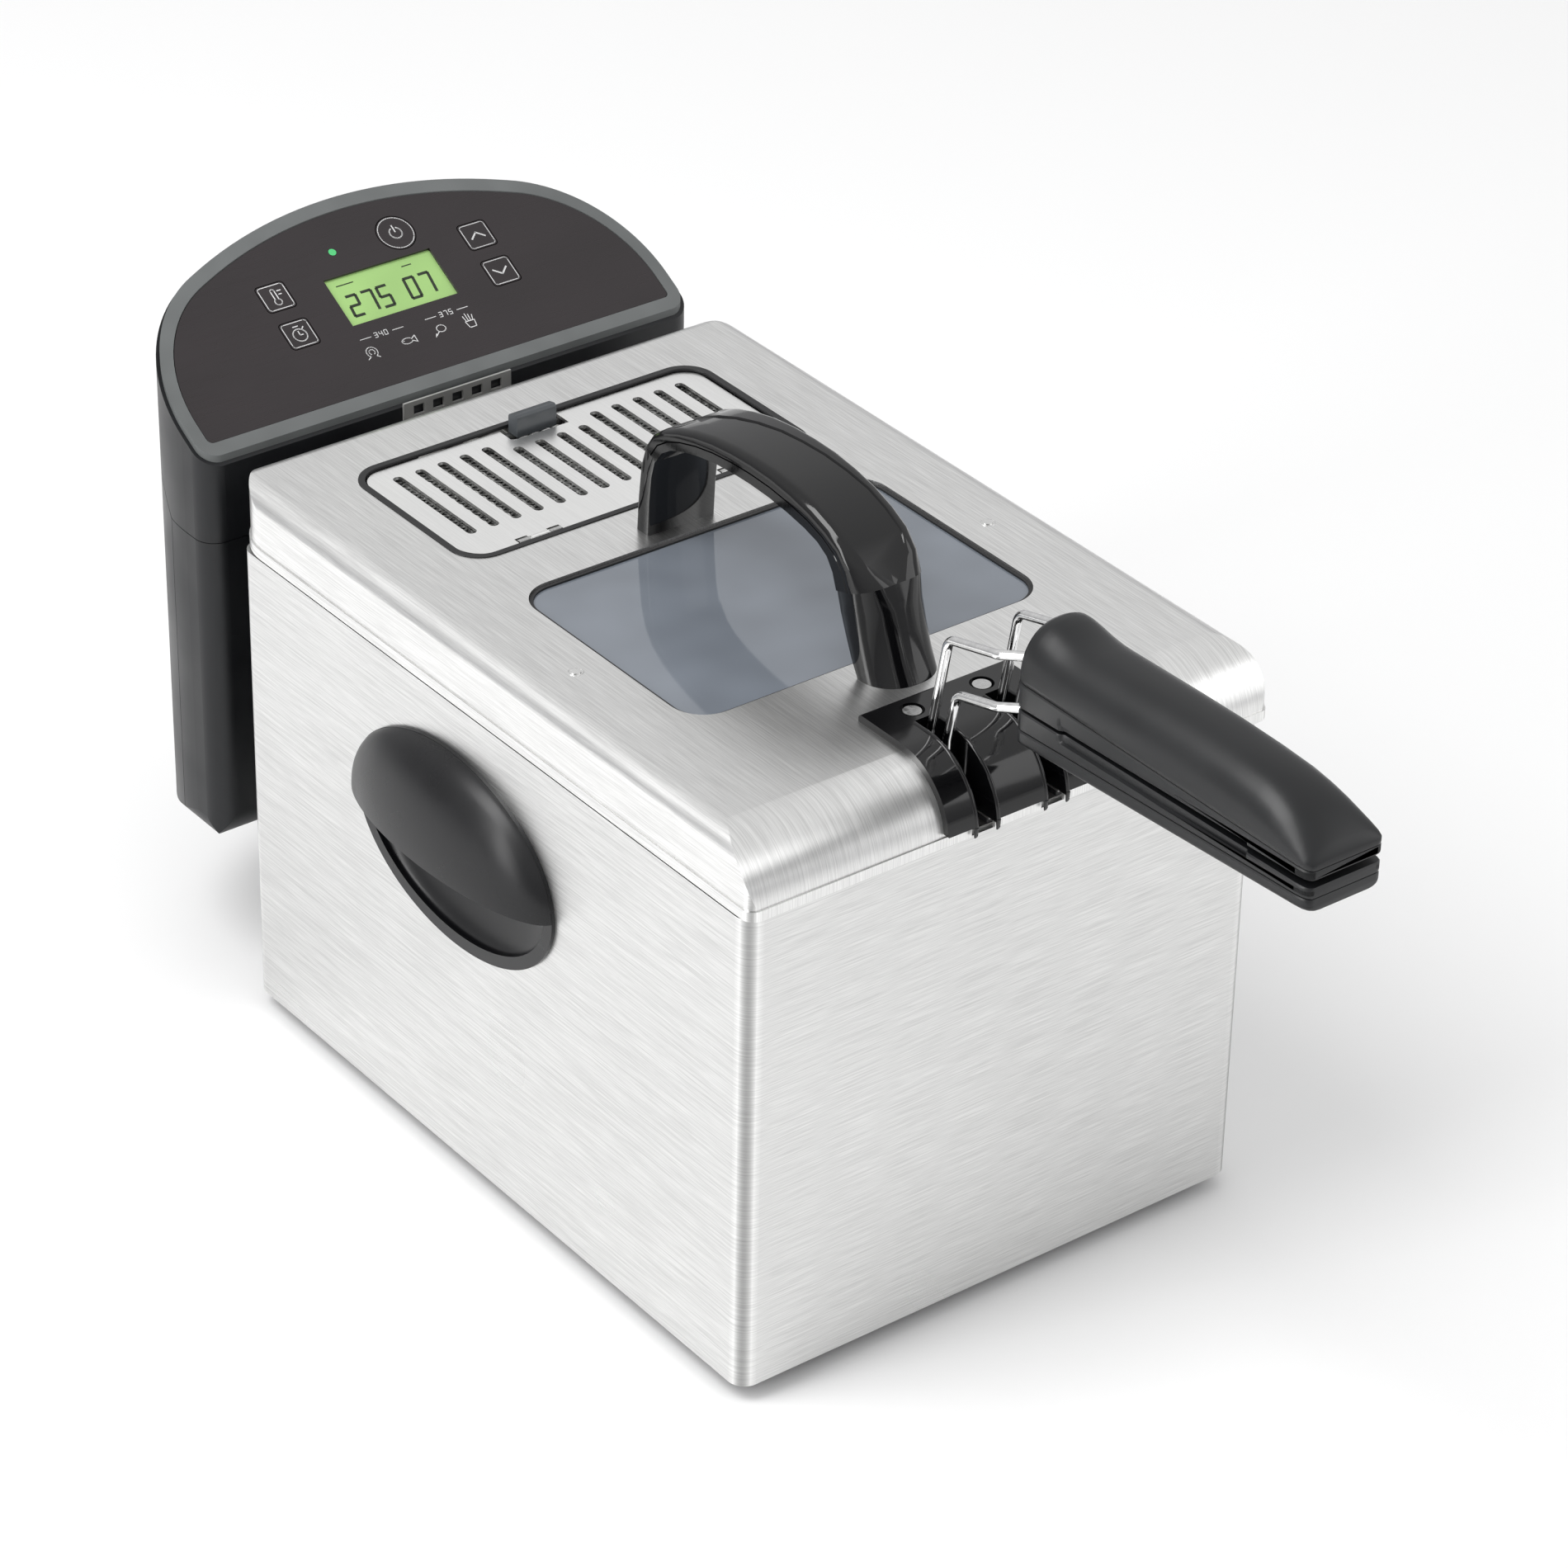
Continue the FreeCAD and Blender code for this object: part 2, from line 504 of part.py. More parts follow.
def bent_path(points, bend, closed=False):
    """Straight runs through the points, joined by tangent arcs of one bend radius."""
    points = [FreeCAD.Vector(*point) for point in points]
    count = len(points)
    trims = []
    for i, point in enumerate(points):
        if not closed and i in (0, count - 1):
            trims.append((point, None, point))
            continue
        back = (points[i - 1] - point).normalize()
        ahead = (points[(i + 1) % count] - point).normalize()
        angle = back.getAngle(ahead)
        reach = bend / math.tan(angle / 2)
        toward = (back + ahead).normalize()
        middle = point + toward * (bend / math.sin(angle / 2) - bend)
        trims.append((point + back * reach, middle, point + ahead * reach))
    edges = []
    for i in range(count):
        if trims[i][1] is not None:
            edges.append(Part.Arc(*trims[i]).toShape())
        if closed or i < count - 1:
            edges.append(Part.LineSegment(trims[i][2], trims[(i + 1) % count][0]).toShape())
    if closed:
        edges = edges[1:] + edges[:1]
    return Part.Wire(edges)


def tube_shape(points, diameter, bend, closed=False):
    """A round wire or tube swept along a bent path."""
    path = bent_path(points, bend, closed)
    start = path.Edges[0]
    along = start.tangentAt(start.FirstParameter)
    circle = Part.Circle(start.valueAt(start.FirstParameter), along, diameter / 2)
    return path.makePipeShell([Part.Wire(circle.toShape())], True, False)


def shaped(label, shape):
    """A node whose shape is computed here from the sheet's sizes."""
    feature = doc.addObject("Part::Feature", label)
    feature.Label = label
    feature.Shape = shape
    feature.Placement = FreeCAD.Placement()
    return node(label, feature)


# ---------------------------------------------------------------- housing, base and feet

def ellipse_prism(x0, length, semi_y, semi_z):
    """An elliptic disc round a side handle's centre, square to X."""
    ellipse = doc.addObject("Part::Ellipse", "Oval")
    # the ellipse's own X runs along Y and its Y along Z
    ellipse.Placement = FreeCAD.Placement(FreeCAD.Vector(), FreeCAD.Rotation(0.5, 0.5, 0.5, 0.5))
    bind(ellipse, "MajorRadius", semi_y)
    bind(ellipse, "MinorRadius", semi_z)
    bind(ellipse, "Placement.Base.x", x0)
    bind(ellipse, "Placement.Base.y", "handle_centre_y")
    bind(ellipse, "Placement.Base.z", "handle_centre_z")
    solid = doc.addObject("Part::Extrusion", "OvalPrism")
    solid.Base = ellipse
    solid.DirMode = "Custom"
    solid.Dir = FreeCAD.Vector(1, 0, 0)
    solid.Solid = True
    bind(solid, "LengthFwd", length)
    return solid


def housing_shell():
    inner = f"({HALF_WIDTH} - housing_gauge)"
    rim = f"({HALF_WIDTH} - housing_gauge - rim_flange)"
    outer_box = prism("XY", "0", "housing_height", rectangle(
        f"-{HALF_WIDTH}", HALF_WIDTH, "0", "housing_depth", "housing_corner"))
    hollow = prism("XY", "-1", "housing_height - housing_gauge", rectangle(
        f"-{inner}", inner, "housing_gauge", "housing_depth - housing_gauge",
        "housing_corner - housing_gauge"))
    mouth = prism("XY", "-1", "housing_height + 1", rectangle(
        f"-{rim}", rim, "housing_gauge + rim_flange", "housing_depth - housing_gauge - rim_flange",
        "housing_corner"))
    hand_holes = ellipse_prism(f"-{HALF_WIDTH} - 1", "housing_width + 2",
                               "hood_half_length - hood_wall", "hood_half_height - hood_wall")
    node("housing_shell", cut(outer_box, hollow, mouth, hand_holes))


def base_plate():
    side = f"({HALF_WIDTH} - housing_gauge - base_fit)"
    low = "(housing_gauge + base_fit)"
    plate = Moulding("base_plate")
    plate.pad("XY", "0", "base_thickness", rectangle(
        f"-{side}", side, low, f"housing_depth - {low}", "housing_corner - housing_gauge - base_fit"))
    slots = []
    for step in (-2, -1, 0, 1, 2):
        middle = f"(housing_depth / 2 + {step} * base_slot_pitch)"
        slots.append(rectangle("-base_slot_length / 2", "base_slot_length / 2",
                               f"{middle} - base_slot_width / 2", f"{middle} + base_slot_width / 2"))
    plate.pocket("XY", "-1", "base_thickness + 1", *slots)


def rubber_feet():
    feet = []
    for x in (f"-({HALF_WIDTH} - foot_inset)", f"{HALF_WIDTH} - foot_inset"):
        for y in ("foot_inset", "housing_depth - foot_inset"):
            foot = doc.addObject("Part::Cone", "Foot")
            bind(foot, "Radius1", "foot_tip_radius")
            bind(foot, "Radius2", "foot_radius")
            bind(foot, "Height", "foot_height")
            bind(foot, "Placement.Base.x", x)
            bind(foot, "Placement.Base.y", y)
            bind(foot, "Placement.Base.z", "-foot_height")
            feet.append(foot)
    node("rubber_feet", fuse(*feet))


def oil_pot():
    half = "pot_half"
    flange = f"({HALF_WIDTH} - pot_flange_margin)"
    pot = Moulding("oil_pot")
    pot.pad("XY", POT_FLOOR, POT_RIM, rectangle(
        f"-{half}", half, "pot_front", POT_REAR, "pot_corner"))
    pot.round_edges("pot_floor_radius", at_level(POT_FLOOR))
    pot.hollow("pot_gauge", POT_RIM)
    lip = f"({half} - pot_gauge / 2)"
    pot.pad("XY", "housing_height", POT_RIM,
            rectangle(f"-{flange}", flange, "pot_flange_margin",
                      "housing_depth - pot_flange_margin", "pot_flange_corner"),
            rectangle(f"-{lip}", lip, "pot_front + pot_gauge / 2", f"{POT_REAR} - pot_gauge / 2",
                      "pot_corner - pot_gauge / 2"))


# ---------------------------------------------------------------- side handles


def oval_dome(reach, inset):
    """An ellipsoid centred on the housing's left wall, its outline drawn in by inset."""
    dome = doc.addObject("Part::Ellipsoid", "Dome")
    # turned so that its poles lie on X: Radius1 runs along X, Radius2 along Z, Radius3 along Y
    turn = FreeCAD.Rotation(FreeCAD.Vector(0, 1, 0), 90)
    dome.Placement = FreeCAD.Placement(FreeCAD.Vector(), turn)
    bind(dome, "Radius1", reach)
    bind(dome, "Radius2", f"hood_half_height - ({inset})")
    bind(dome, "Radius3", f"hood_half_length - ({inset})")
    bind(dome, "Placement.Base.y", "handle_centre_y")
    bind(dome, "Placement.Base.z", "handle_centre_z")
    return dome


def side_handles():
    """An oval moulding: its upper half is a hood, its lower half a dish for the fingers.

    It is shaped with X counted from the housing's wall and then moved out to the wall.
    """
    near = "(handle_centre_y - hood_half_length - 20)"
    far = "(handle_centre_y + hood_half_length + 20)"
    sky = "(handle_centre_z + hood_half_height + 10)"
    outside = block("-hood_bulge - 5", "0", near, far, "handle_centre_z", sky)
    inside = block("0", "dish_depth + 5", near, far, "handle_centre_z - hood_half_height - 10",
                   sky)
    hood = common(cut(oval_dome("hood_bulge", "0"),
                      oval_dome("hood_bulge - hood_wall", "hood_wall")), outside)
    rim = "(hood_wall + handle_fit)"
    dish = common(cut(oval_dome("dish_depth", rim),
                      oval_dome("dish_depth - hood_wall", f"{rim} + hood_wall")), inside)
    plate = ellipse_prism("-handle_flange", "handle_flange",
                          "hood_half_length", "hood_half_height")
    mouth = ellipse_prism("-hood_bulge", "hood_bulge + 1",
                          f"hood_half_length - {rim} - hood_wall",
                          f"hood_half_height - {rim} - hood_wall")
    ring = cut(plate, mouth)
    left = node("side_handle_left", fuse(hood, dish, ring))
    bind(left, "Placement.Base.x", f"-{HALF_WIDTH}")
    right = mirrored(left)
    right.Label = "side_handle_right"
    nodes["side_handle_right"] = right


# ---------------------------------------------------------------- lid


def lid_form(inset, low):
    """The lid's outer form drawn in by inset, from the height low to the top."""
    top = f"({LID_TOP} - {inset})"
    front = f"(-lid_front_overhang + {inset})"
    rear = f"({LID_REAR} - {inset})"
    side = f"({LID_SIDE} - {inset})"
    along = prism("YZ", f"-{side} - 1", f"{side} + 1", [
        (front, low), (rear, low), (rear, top, f"lid_edge_radius - {inset}"),
        (front, top, f"lid_front_radius - {inset}")])
    across = prism("XZ", f"{front} - 1", f"{rear} + 1", [
        (f"-{side}", low), (side, low), (side, top, f"lid_edge_radius - {inset}"),
        (f"-{side}", top, f"lid_edge_radius - {inset}")])
    plan = prism("XY", low, f"{top} + 1", lid_plan(inset))
    return common(along, across, plan)


def lid_plan(inset):
    front = f"(-lid_front_overhang + ({inset}))"
    rear = f"({LID_REAR} - ({inset}))"
    side = f"({LID_SIDE} - ({inset}))"
    rear_radius = f"lid_rear_corner - ({inset})"
    # corners drawn in further than their radius keep a small one
    front_radius = f"max(lid_front_corner - ({inset}); 1)"
    return [(f"-{side}", front, front_radius), (side, front, front_radius),
            (side, rear, rear_radius), (f"-{side}", rear, rear_radius)]


def wire_slots(margin, low, high):
    """Two slots, open at the lid's front, that the basket's wires stand in."""
    half = f"(slot_width / 2 + {margin})"
    slots = []
    for side in ("-", ""):
        middle = f"({side}wire_half_pitch)"
        slots.append(block(f"{middle} - {half}", f"{middle} + {half}", "-40",
                           f"slot_rear + {margin}", low, high))
    return slots


def rear_notch(high):
    """Room at the lid's back for the element's tubes and bracket."""
    return block("-notch_half_width", "notch_half_width", "element_riser_y - 7",
                 f"{LID_REAR} + 5", f"{LID_BOTTOM} - 5", high)


def window_outline(margin):
    half = f"(window_width / 2 + ({margin}))"
    return rectangle(f"-{half}", half, f"window_front - ({margin})",
                     f"window_rear + ({margin})", f"window_corner + ({margin})")


def vent_outline(inset):
    half = f"(vent_width / 2 - ({inset}))"
    return rectangle(f"-{half}", half, f"vent_front + ({inset})", f"vent_rear - ({inset})",
                     f"vent_corner - ({inset})")


def strap_screw_places():
    places = []
    for x in ("-strap_screw_half_pitch", "strap_screw_half_pitch"):
        for y in ("strap_front + strap_front_leg * 0.6", "strap_rear - strap_rear_leg / 2"):
            places.append((x, y))
    return places


def lid_shell():
    skin = cut(lid_form("0", LID_BOTTOM), lid_form("lid_gauge", f"{LID_BOTTOM} - 5"))
    hem_top = f"{LID_BOTTOM} + hem_height"
    hem = cut(prism("XY", LID_BOTTOM, hem_top, lid_plan("-hem_proud")),
              prism("XY", f"{LID_BOTTOM} - 1", f"{hem_top} + 1", lid_plan("lid_gauge")))
    openings = [
        prism("XY", f"{LID_TOP} - 5", f"{LID_TOP} + 5", window_outline("0")),
        prism("XY", f"{LID_TOP} - 5", f"{LID_TOP} + 5", vent_outline("0")),
        rear_notch(f"{LID_BOTTOM} + notch_height"),
    ]
    openings += wire_slots("slot_liner", f"{LID_BOTTOM} - 5", f"{LID_TOP} + 5")
    for x, y in strap_screw_places():
        openings.append(rod("z", x, y, f"{LID_TOP} - 5", "strap_screw_radius + 0.2", "10"))
    for x in ("-wire_half_pitch", "wire_half_pitch"):
        openings.append(rod("z", x, "saddle_screw_y", f"{LID_TOP} - 5",
                            "saddle_screw_head / 2 + 0.2", "10"))
    node("lid_shell", cut(fuse(skin, hem), *openings))


def lid_inner_pan():
    """The lid's inner sheet, and on it the collar that carries the window."""
    pan = prism("XY", PAN_Z, f"{PAN_Z} + pan_gauge", lid_plan("pan_margin"))
    collar_top = f"({GLASS_TOP} - glass_thickness)"
    collar = cut(
        prism("XY", f"{PAN_Z} + pan_gauge", collar_top, window_outline("collar_wall")),
        prism("XY", f"{PAN_Z} - 1", f"{collar_top} + 1", window_outline("0")))
    well = f"({COVER_HALF} - frame_wall - frame_ledge)"
    openings = [
        prism("XY", f"{PAN_Z} - 1", f"{PAN_Z} + pan_gauge + 1", window_outline("0"),
              rectangle(f"-{well}", well, f"{COVER_FRONT} + frame_wall + frame_ledge",
                        f"{COVER_REAR} - frame_wall - frame_ledge")),
        rear_notch(f"{PAN_Z} + 5"),
    ]
    openings += wire_slots("slot_liner", f"{PAN_Z} - 5", f"{PAN_Z} + 15")
    node("lid_inner_pan", cut(pan, *openings))
    node("window_collar", collar)


def lid_gasket():
    low = f"({POT_RIM} + gasket_seat)"
    high = f"({low} + gasket_height)"
    ring = cut(prism("XY", low, high, lid_plan("pan_margin + 1")),
               prism("XY", f"{low} - 1", f"{high} + 1", lid_plan("pan_margin + 1 + gasket_width")))
    room = wire_slots("slot_liner", f"{low} - 5", f"{high} + 5")
    node("lid_gasket", cut(ring, rear_notch(f"{high} + 5"), *room))


def window():
    glass = Moulding("window_glass")
    glass.pad("XY", f"{GLASS_TOP} - glass_thickness", GLASS_TOP, window_outline("glass_margin"))
    seal = Moulding("window_gasket")
    seal.pad("XY", GLASS_TOP, SHEET_UNDER, window_outline("glass_margin"),
             window_outline("-seal_lip"))


def lid_handle():
    """An arched strap: a base with two legs and a cover along its top."""
    top = f"({LID_TOP} + strap_rise)"
    shoulder = f"({top} - strap_shoulder_drop)"
    under = f"({top} - strap_thickness)"
    under_shoulder = f"({shoulder} - strap_thickness)"
    half = "(strap_width / 2)"

    def arch(drop, front_lean, rear_lean):
        return [
            (f"strap_rear - {rear_lean}", f"{shoulder} - {drop}", "strap_rear_radius"),
            ("strap_crown_y", f"{top} + 2 - {drop}", "strap_crown"),
            (f"strap_front + {front_lean}", f"{shoulder} - {drop}", "strap_front_radius"),
        ]

    outer = [("strap_front", LID_TOP), ("strap_rear", LID_TOP)]
    outer += arch("0", "strap_lean", "strap_rear_lean")
    inner = [
        ("strap_front + strap_front_leg", f"{LID_TOP} - 1"),
        ("strap_rear - strap_rear_leg", f"{LID_TOP} - 1"),
        ("strap_rear - strap_rear_leg - strap_rear_lean", under_shoulder, "strap_rear_radius / 2"),
        ("strap_crown_y", f"{under} + 2", "strap_crown"),
        ("strap_front + strap_front_leg + strap_lean / 2", under_shoulder,
         "strap_front_radius / 2"),
    ]
    plan = prism("XY", f"{LID_TOP} - 2", f"{top} + 5", [
        (f"-{half}", "strap_front", f"{half} - 1"), (half, "strap_front", f"{half} - 1"),
        (half, "strap_rear"), (f"-{half}", "strap_rear")])

    def strap(corners, margin="0"):
        return prism("YZ", f"-({half} + {margin})", f"{half} + {margin}", corners)

    # the cover takes the strap's top layer, down to the two shoulders
    below = [("strap_front - 9", f"{LID_TOP} - 2"), ("strap_rear + 9", f"{LID_TOP} - 2"),
             ("strap_rear + 9", f"{shoulder} - strap_cover - 5")]
    below += arch("strap_cover", "strap_lean - 4", "strap_rear_lean - 2")
    below += [("strap_front - 9", f"{shoulder} - strap_cover - 12")]
    whole = common(strap(outer), plan)
    legs = cut(whole, strap(inner, "1"))
    screw_holes = []
    for x, y in strap_screw_places():
        screw_holes.append(rod("z", x, y, f"{LID_TOP} - 1", "strap_screw_radius",
                               "strap_screw_depth + 1"))
    base = cut(common(legs, strap(below, "1")), *screw_holes)
    node("lid_handle_base", base)
    lifted = [(y, f"({z}) + seam") + tuple(rest) for y, z, *rest in below]
    node("lid_handle_cover", cut(legs, strap(lifted, "2")))
    screws = []
    for x, y in strap_screw_places():
        screws.append(rod("z", x, y, f"{SHEET_UNDER} - 2", "strap_screw_radius",
                          "strap_screw_depth + 2"))
        screws.append(rod("z", x, y, f"{SHEET_UNDER} - 2.4", "strap_screw_radius * 1.8", "2.2"))
    node("lid_handle_screws", fuse(*screws))


def front_saddle():
    """A gloss moulding over the lid's front edge; its liners stand in the wire slots."""
    half = "(saddle_width / 2)"
    top = f"({LID_TOP} + saddle_thickness)"
    foot = f"({LID_BOTTOM} + hem_height + saddle_skirt)"
    outer_front = "(-lid_front_overhang - saddle_thickness)"
    deep = f"({LID_BOTTOM} - 10)"
    skin = cut(
        prism("YZ", f"-{half}", half, [
            (outer_front, deep), ("saddle_rear", deep),
            ("saddle_rear", top, "saddle_thickness / 2"),
            (outer_front, top, "lid_front_radius + saddle_thickness")]),
        prism("YZ", f"-{half} - 1", f"{half} + 1", [
            ("-lid_front_overhang", f"{deep} - 2"), ("saddle_rear + 1", f"{deep} - 2"),
            ("saddle_rear + 1", LID_TOP),
            ("-lid_front_overhang", LID_TOP, "lid_front_radius")]),
        block(f"-{half} - 1", f"{half} + 1", "-40", "saddle_rear + 1", f"{deep} - 1", foot))
    liner_low = f"{PAN_Z} + pan_gauge + 1"
    liner = "(slot_liner - 0.1)"
    liners = common(fuse(*wire_slots(liner, liner_low, top)),
                    prism("YZ", f"-{half}", half, [
                        (outer_front, deep), (f"slot_rear + {liner}", deep),
                        (f"slot_rear + {liner}", top),
                        (outer_front, top, "lid_front_radius + saddle_thickness")]))
    tools = wire_slots("0", f"{LID_BOTTOM} - 5", f"{top} + 5")
    for x in ("-wire_half_pitch", "wire_half_pitch"):
        tools.append(rod("z", x, "saddle_screw_y", f"{top} - saddle_bore_depth", "saddle_bore", "9"))
        tools.append(rod("z", x, "saddle_screw_y", f"{LID_TOP} - 1",
                         "saddle_screw_head / 2 + 0.1", "9"))
    node("front_saddle", cut(fuse(skin, liners), *tools))
    screws = []
    for x in ("-wire_half_pitch", "wire_half_pitch"):
        seat = f"({top} - saddle_bore_depth)"
        screws.append(rod("z", x, "saddle_screw_y", seat, "saddle_screw_head", "1.2"))
        screws.append(rod("z", x, "saddle_screw_y", f"{seat} - 8", "saddle_screw_head / 2", "8"))
    node("saddle_screws", fuse(*screws))


# ---------------------------------------------------------------- vent, filters and latch


def cover_outline(inset="0"):
    half = f"({COVER_HALF} - ({inset}))"
    rear = f"({COVER_REAR} - ({inset}))"
    deep = "(vent_rear - vent_seal_width - cover_gap - tab_notch_depth)"
    return [
        (f"-{half}", f"{COVER_FRONT} + ({inset})", "cover_front_corner"),
        (half, f"{COVER_FRONT} + ({inset})", "cover_front_corner"),
        (half, rear, "cover_corner"),
        ("tab_notch_half", rear), ("tab_notch_half", deep), ("-tab_notch_half", deep),
        ("-tab_notch_half", rear), (f"-{half}", rear, "cover_corner")]


def hinge_places():
    return ("-knuckle_x", "knuckle_x")


def lug_spans(extra):
    """The stretches of X taken by the hinge's lugs, widened by extra."""
    reach = "(knuckle_length / 2 + knuckle_gap)"
    spans = []
    for x in hinge_places():
        spans.append((f"{x} - {reach} - lug_length - {extra}", f"{x} - {reach}"))
        spans.append((f"{x} + {reach}", f"{x} + {reach} + lug_length + {extra}"))
    return spans


def vent_cover():
    """The hinged plate over the filters, with fourteen slots and two hinge knuckles."""
    openings = []
    for index in range(14):
        x = f"(({index} - 6.5) * vent_slot_pitch)"
        short = index in (5, 6, 7, 8)
        rear = "vent_slot_rear_short" if short else "vent_slot_rear"
        slot = rectangle(f"{x} - vent_slot_width / 2", f"{x} + vent_slot_width / 2",
                         "vent_slot_front", rear, "vent_slot_width / 2 - 0.1")
        openings.append(prism("XY", f"{COVER_UNDER} - 1", f"{COVER_TOP} + 1", slot))
    for near, far in lug_spans("knuckle_gap"):
        openings.append(block(near, far, f"{COVER_FRONT} - 1", f"{HINGE_Y} + hinge_sweep",
                              f"{COVER_UNDER} - 1", f"{COVER_TOP} + 1"))
    plate = cut(prism("XY", COVER_UNDER, COVER_TOP, cover_outline()), *openings)
    knuckles = []
    holes = []
    for x in hinge_places():
        start = f"{x} - knuckle_length / 2"
        knuckles.append(rod("x", start, HINGE_Y, HINGE_Z, "knuckle_radius", "knuckle_length"))
        holes.append(rod("x", f"{start} - 1", HINGE_Y, HINGE_Z,
                         "hinge_pin_radius + running_fit", "knuckle_length + 2"))
    node("vent_cover", cut(fuse(plate, *knuckles), *holes))


def filter_frame():
    """The well under the vent: walls, a ledge for the filters and the lugs of the hinge."""
    low = f"({PAN_Z} + pan_gauge)"
    high = f"({COVER_UNDER} - 0.6)"
    side = f"({COVER_HALF})"
    inner = f"({side} - frame_wall)"
    hole = f"({inner} - frame_ledge)"
    walls = cut(
        prism("XY", low, high, rectangle(f"-{side}", side, COVER_FRONT, COVER_REAR)),
        prism("XY", f"{low} + frame_wall", f"{high} + 1", rectangle(
            f"-{inner}", inner, f"{COVER_FRONT} + 2 * frame_wall", f"{COVER_REAR} - frame_wall")),
        prism("XY", f"{low} - 1", f"{high} + 1", rectangle(
            f"-{hole}", hole, f"{COVER_FRONT} + frame_wall + frame_ledge",
            f"{COVER_REAR} - frame_wall - frame_ledge")),
        block(f"-{side} - 1", f"{side} + 1", f"{COVER_FRONT} - 1",
              f"{HINGE_Y} + hinge_sweep + 0.6", f"{HINGE_Z} - hinge_sweep - 0.4", f"{high} + 1"))
    lugs = []
    for near, far in lug_spans("0"):
        lugs.append(block(near, far, f"{HINGE_Y} - knuckle_radius", f"{HINGE_Y} + knuckle_radius",
                          f"{HINGE_Z} - hinge_sweep - 1", HINGE_Z))
        lugs.append(rod("x", near, HINGE_Y, HINGE_Z, "knuckle_radius", "lug_length"))
    node("filter_frame", cut(fuse(walls, *lugs), *hinge_pins()))
    node("vent_hinge_pins", fuse(*hinge_pins()))


def hinge_pins():
    length = "(knuckle_length + 2 * knuckle_gap + 2 * lug_length - 1)"
    return [rod("x", f"{x} - {length} / 2", HINGE_Y, HINGE_Z, "hinge_pin_radius", length)
            for x in hinge_places()]


def filters():
    inner = f"({COVER_HALF} - frame_wall - 0.4)"
    front = f"({COVER_FRONT} + 2 * frame_wall + 0.4)"
    rear = f"({COVER_REAR} - frame_wall - 0.4)"
    mesh_top = f"({COVER_TOP} - mesh_drop)"
    mesh = Moulding("mesh_filter")
    mesh.pad("XY", f"{mesh_top} - mesh_gauge", mesh_top, rectangle(
        f"-{inner}", inner, f"{front} + 3", rear))
    charcoal = Moulding("charcoal_filter")
    bottom = f"({PAN_Z} + pan_gauge + frame_wall)"
    charcoal.pad("XY", bottom, f"{bottom} + charcoal_thickness", rectangle(
        f"-{inner}", inner, front, rear, "2"))


def vent_gasket():
    seal = Moulding("vent_gasket")
    seal.pad("XY", f"{SHEET_UNDER}", f"{LID_TOP} + vent_seal_proud", vent_outline("0.1"),
             vent_outline("vent_seal_width"))


def vent_latch():
    """A finger tab in the cover's rear notch, pushed forward to free the cover."""
    rear = f"({COVER_REAR} - 0.4)"
    front = f"({rear} - tab_thickness)"
    tab = Moulding("vent_latch")
    tab.pad("YZ", "-tab_half_width", "tab_half_width", [
        (front, f"{COVER_UNDER}"), (rear, f"{COVER_UNDER}"),
        (rear, f"{LID_TOP} + tab_rise - 1.5", "2"), (front, f"{LID_TOP} + tab_rise", "1.5")])


def lid_rivets():
    heads = []
    for x in ("-rivet_x", "rivet_x"):
        heads.append(rod("z", x, "rivet_y", LID_TOP, "rivet_radius", "rivet_rise"))
    node("lid_rivets", fuse(*heads))


# ---------------------------------------------------------------- basket and its handle


def basket():
    half = "basket_half"
    rear = "basket_rear"
    tray = Moulding("basket_mesh")
    tray.pad("XY", "basket_floor", BASKET_RIM, rectangle(
        f"-{half}", half, "basket_front", rear, "basket_corner"))
    tray.pocket("XY", "basket_floor + basket_wall", f"{BASKET_RIM} + 1", rectangle(
        f"-({half} - basket_wall)", f"{half} - basket_wall", "basket_front + basket_wall",
        f"{rear} - basket_wall", "basket_corner - basket_wall"))
    side = number(half)
    front = number("basket_front")
    back = number(rear)
    rim = number(f"{BASKET_RIM} + rim_wire_radius + 0.05")
    loop = [(-side, front, rim), (side, front, rim), (side, back, rim), (-side, back, rim)]
    shaped("basket_rim", tube_shape(loop, 2 * number("rim_wire_radius"),
                                    number("basket_corner"), closed=True))
    reach = number("pivot_half_width")
    bar_y = number("pivot_y")
    bar_z = number("pivot_z")
    wall = front - 0.2
    staple = [(-reach, wall, bar_z), (-reach, bar_y, bar_z), (reach, bar_y, bar_z),
              (reach, wall, bar_z)]
    shaped("pivot_bar", tube_shape(staple, number("wire_diameter"), 3))


def wire_share(bend_y):
    """How far along its run from grip to bend a wire turns in toward the grip."""
    return f"((grip_start - wire_jog_reach) / (grip_start + {bend_y}))"


def upper_wire_points(side):
    """From inside the grip, out over the lid's front edge and down to the basket's rim."""
    x = side * number("wire_half_pitch")
    held = side * number("wire_grip_x")
    inside = -number("grip_start + wire_insert")
    foot = number(f"{BASKET_RIM} - 2")
    jog = number("upper_grip_z + (upper_bend_z - upper_grip_z) * " + wire_share("upper_bend_y"))
    return [
        (held, inside, number("upper_grip_z + 1")),
        (held, -number("grip_start"), number("upper_grip_z")),
        (x, -number("wire_jog_reach"), jog),
        (x, number("upper_bend_y"), number("upper_bend_z")),
        (x, number("upper_base_y"), number("wire_base_z")), (x, number("upper_foot_y"), foot)]


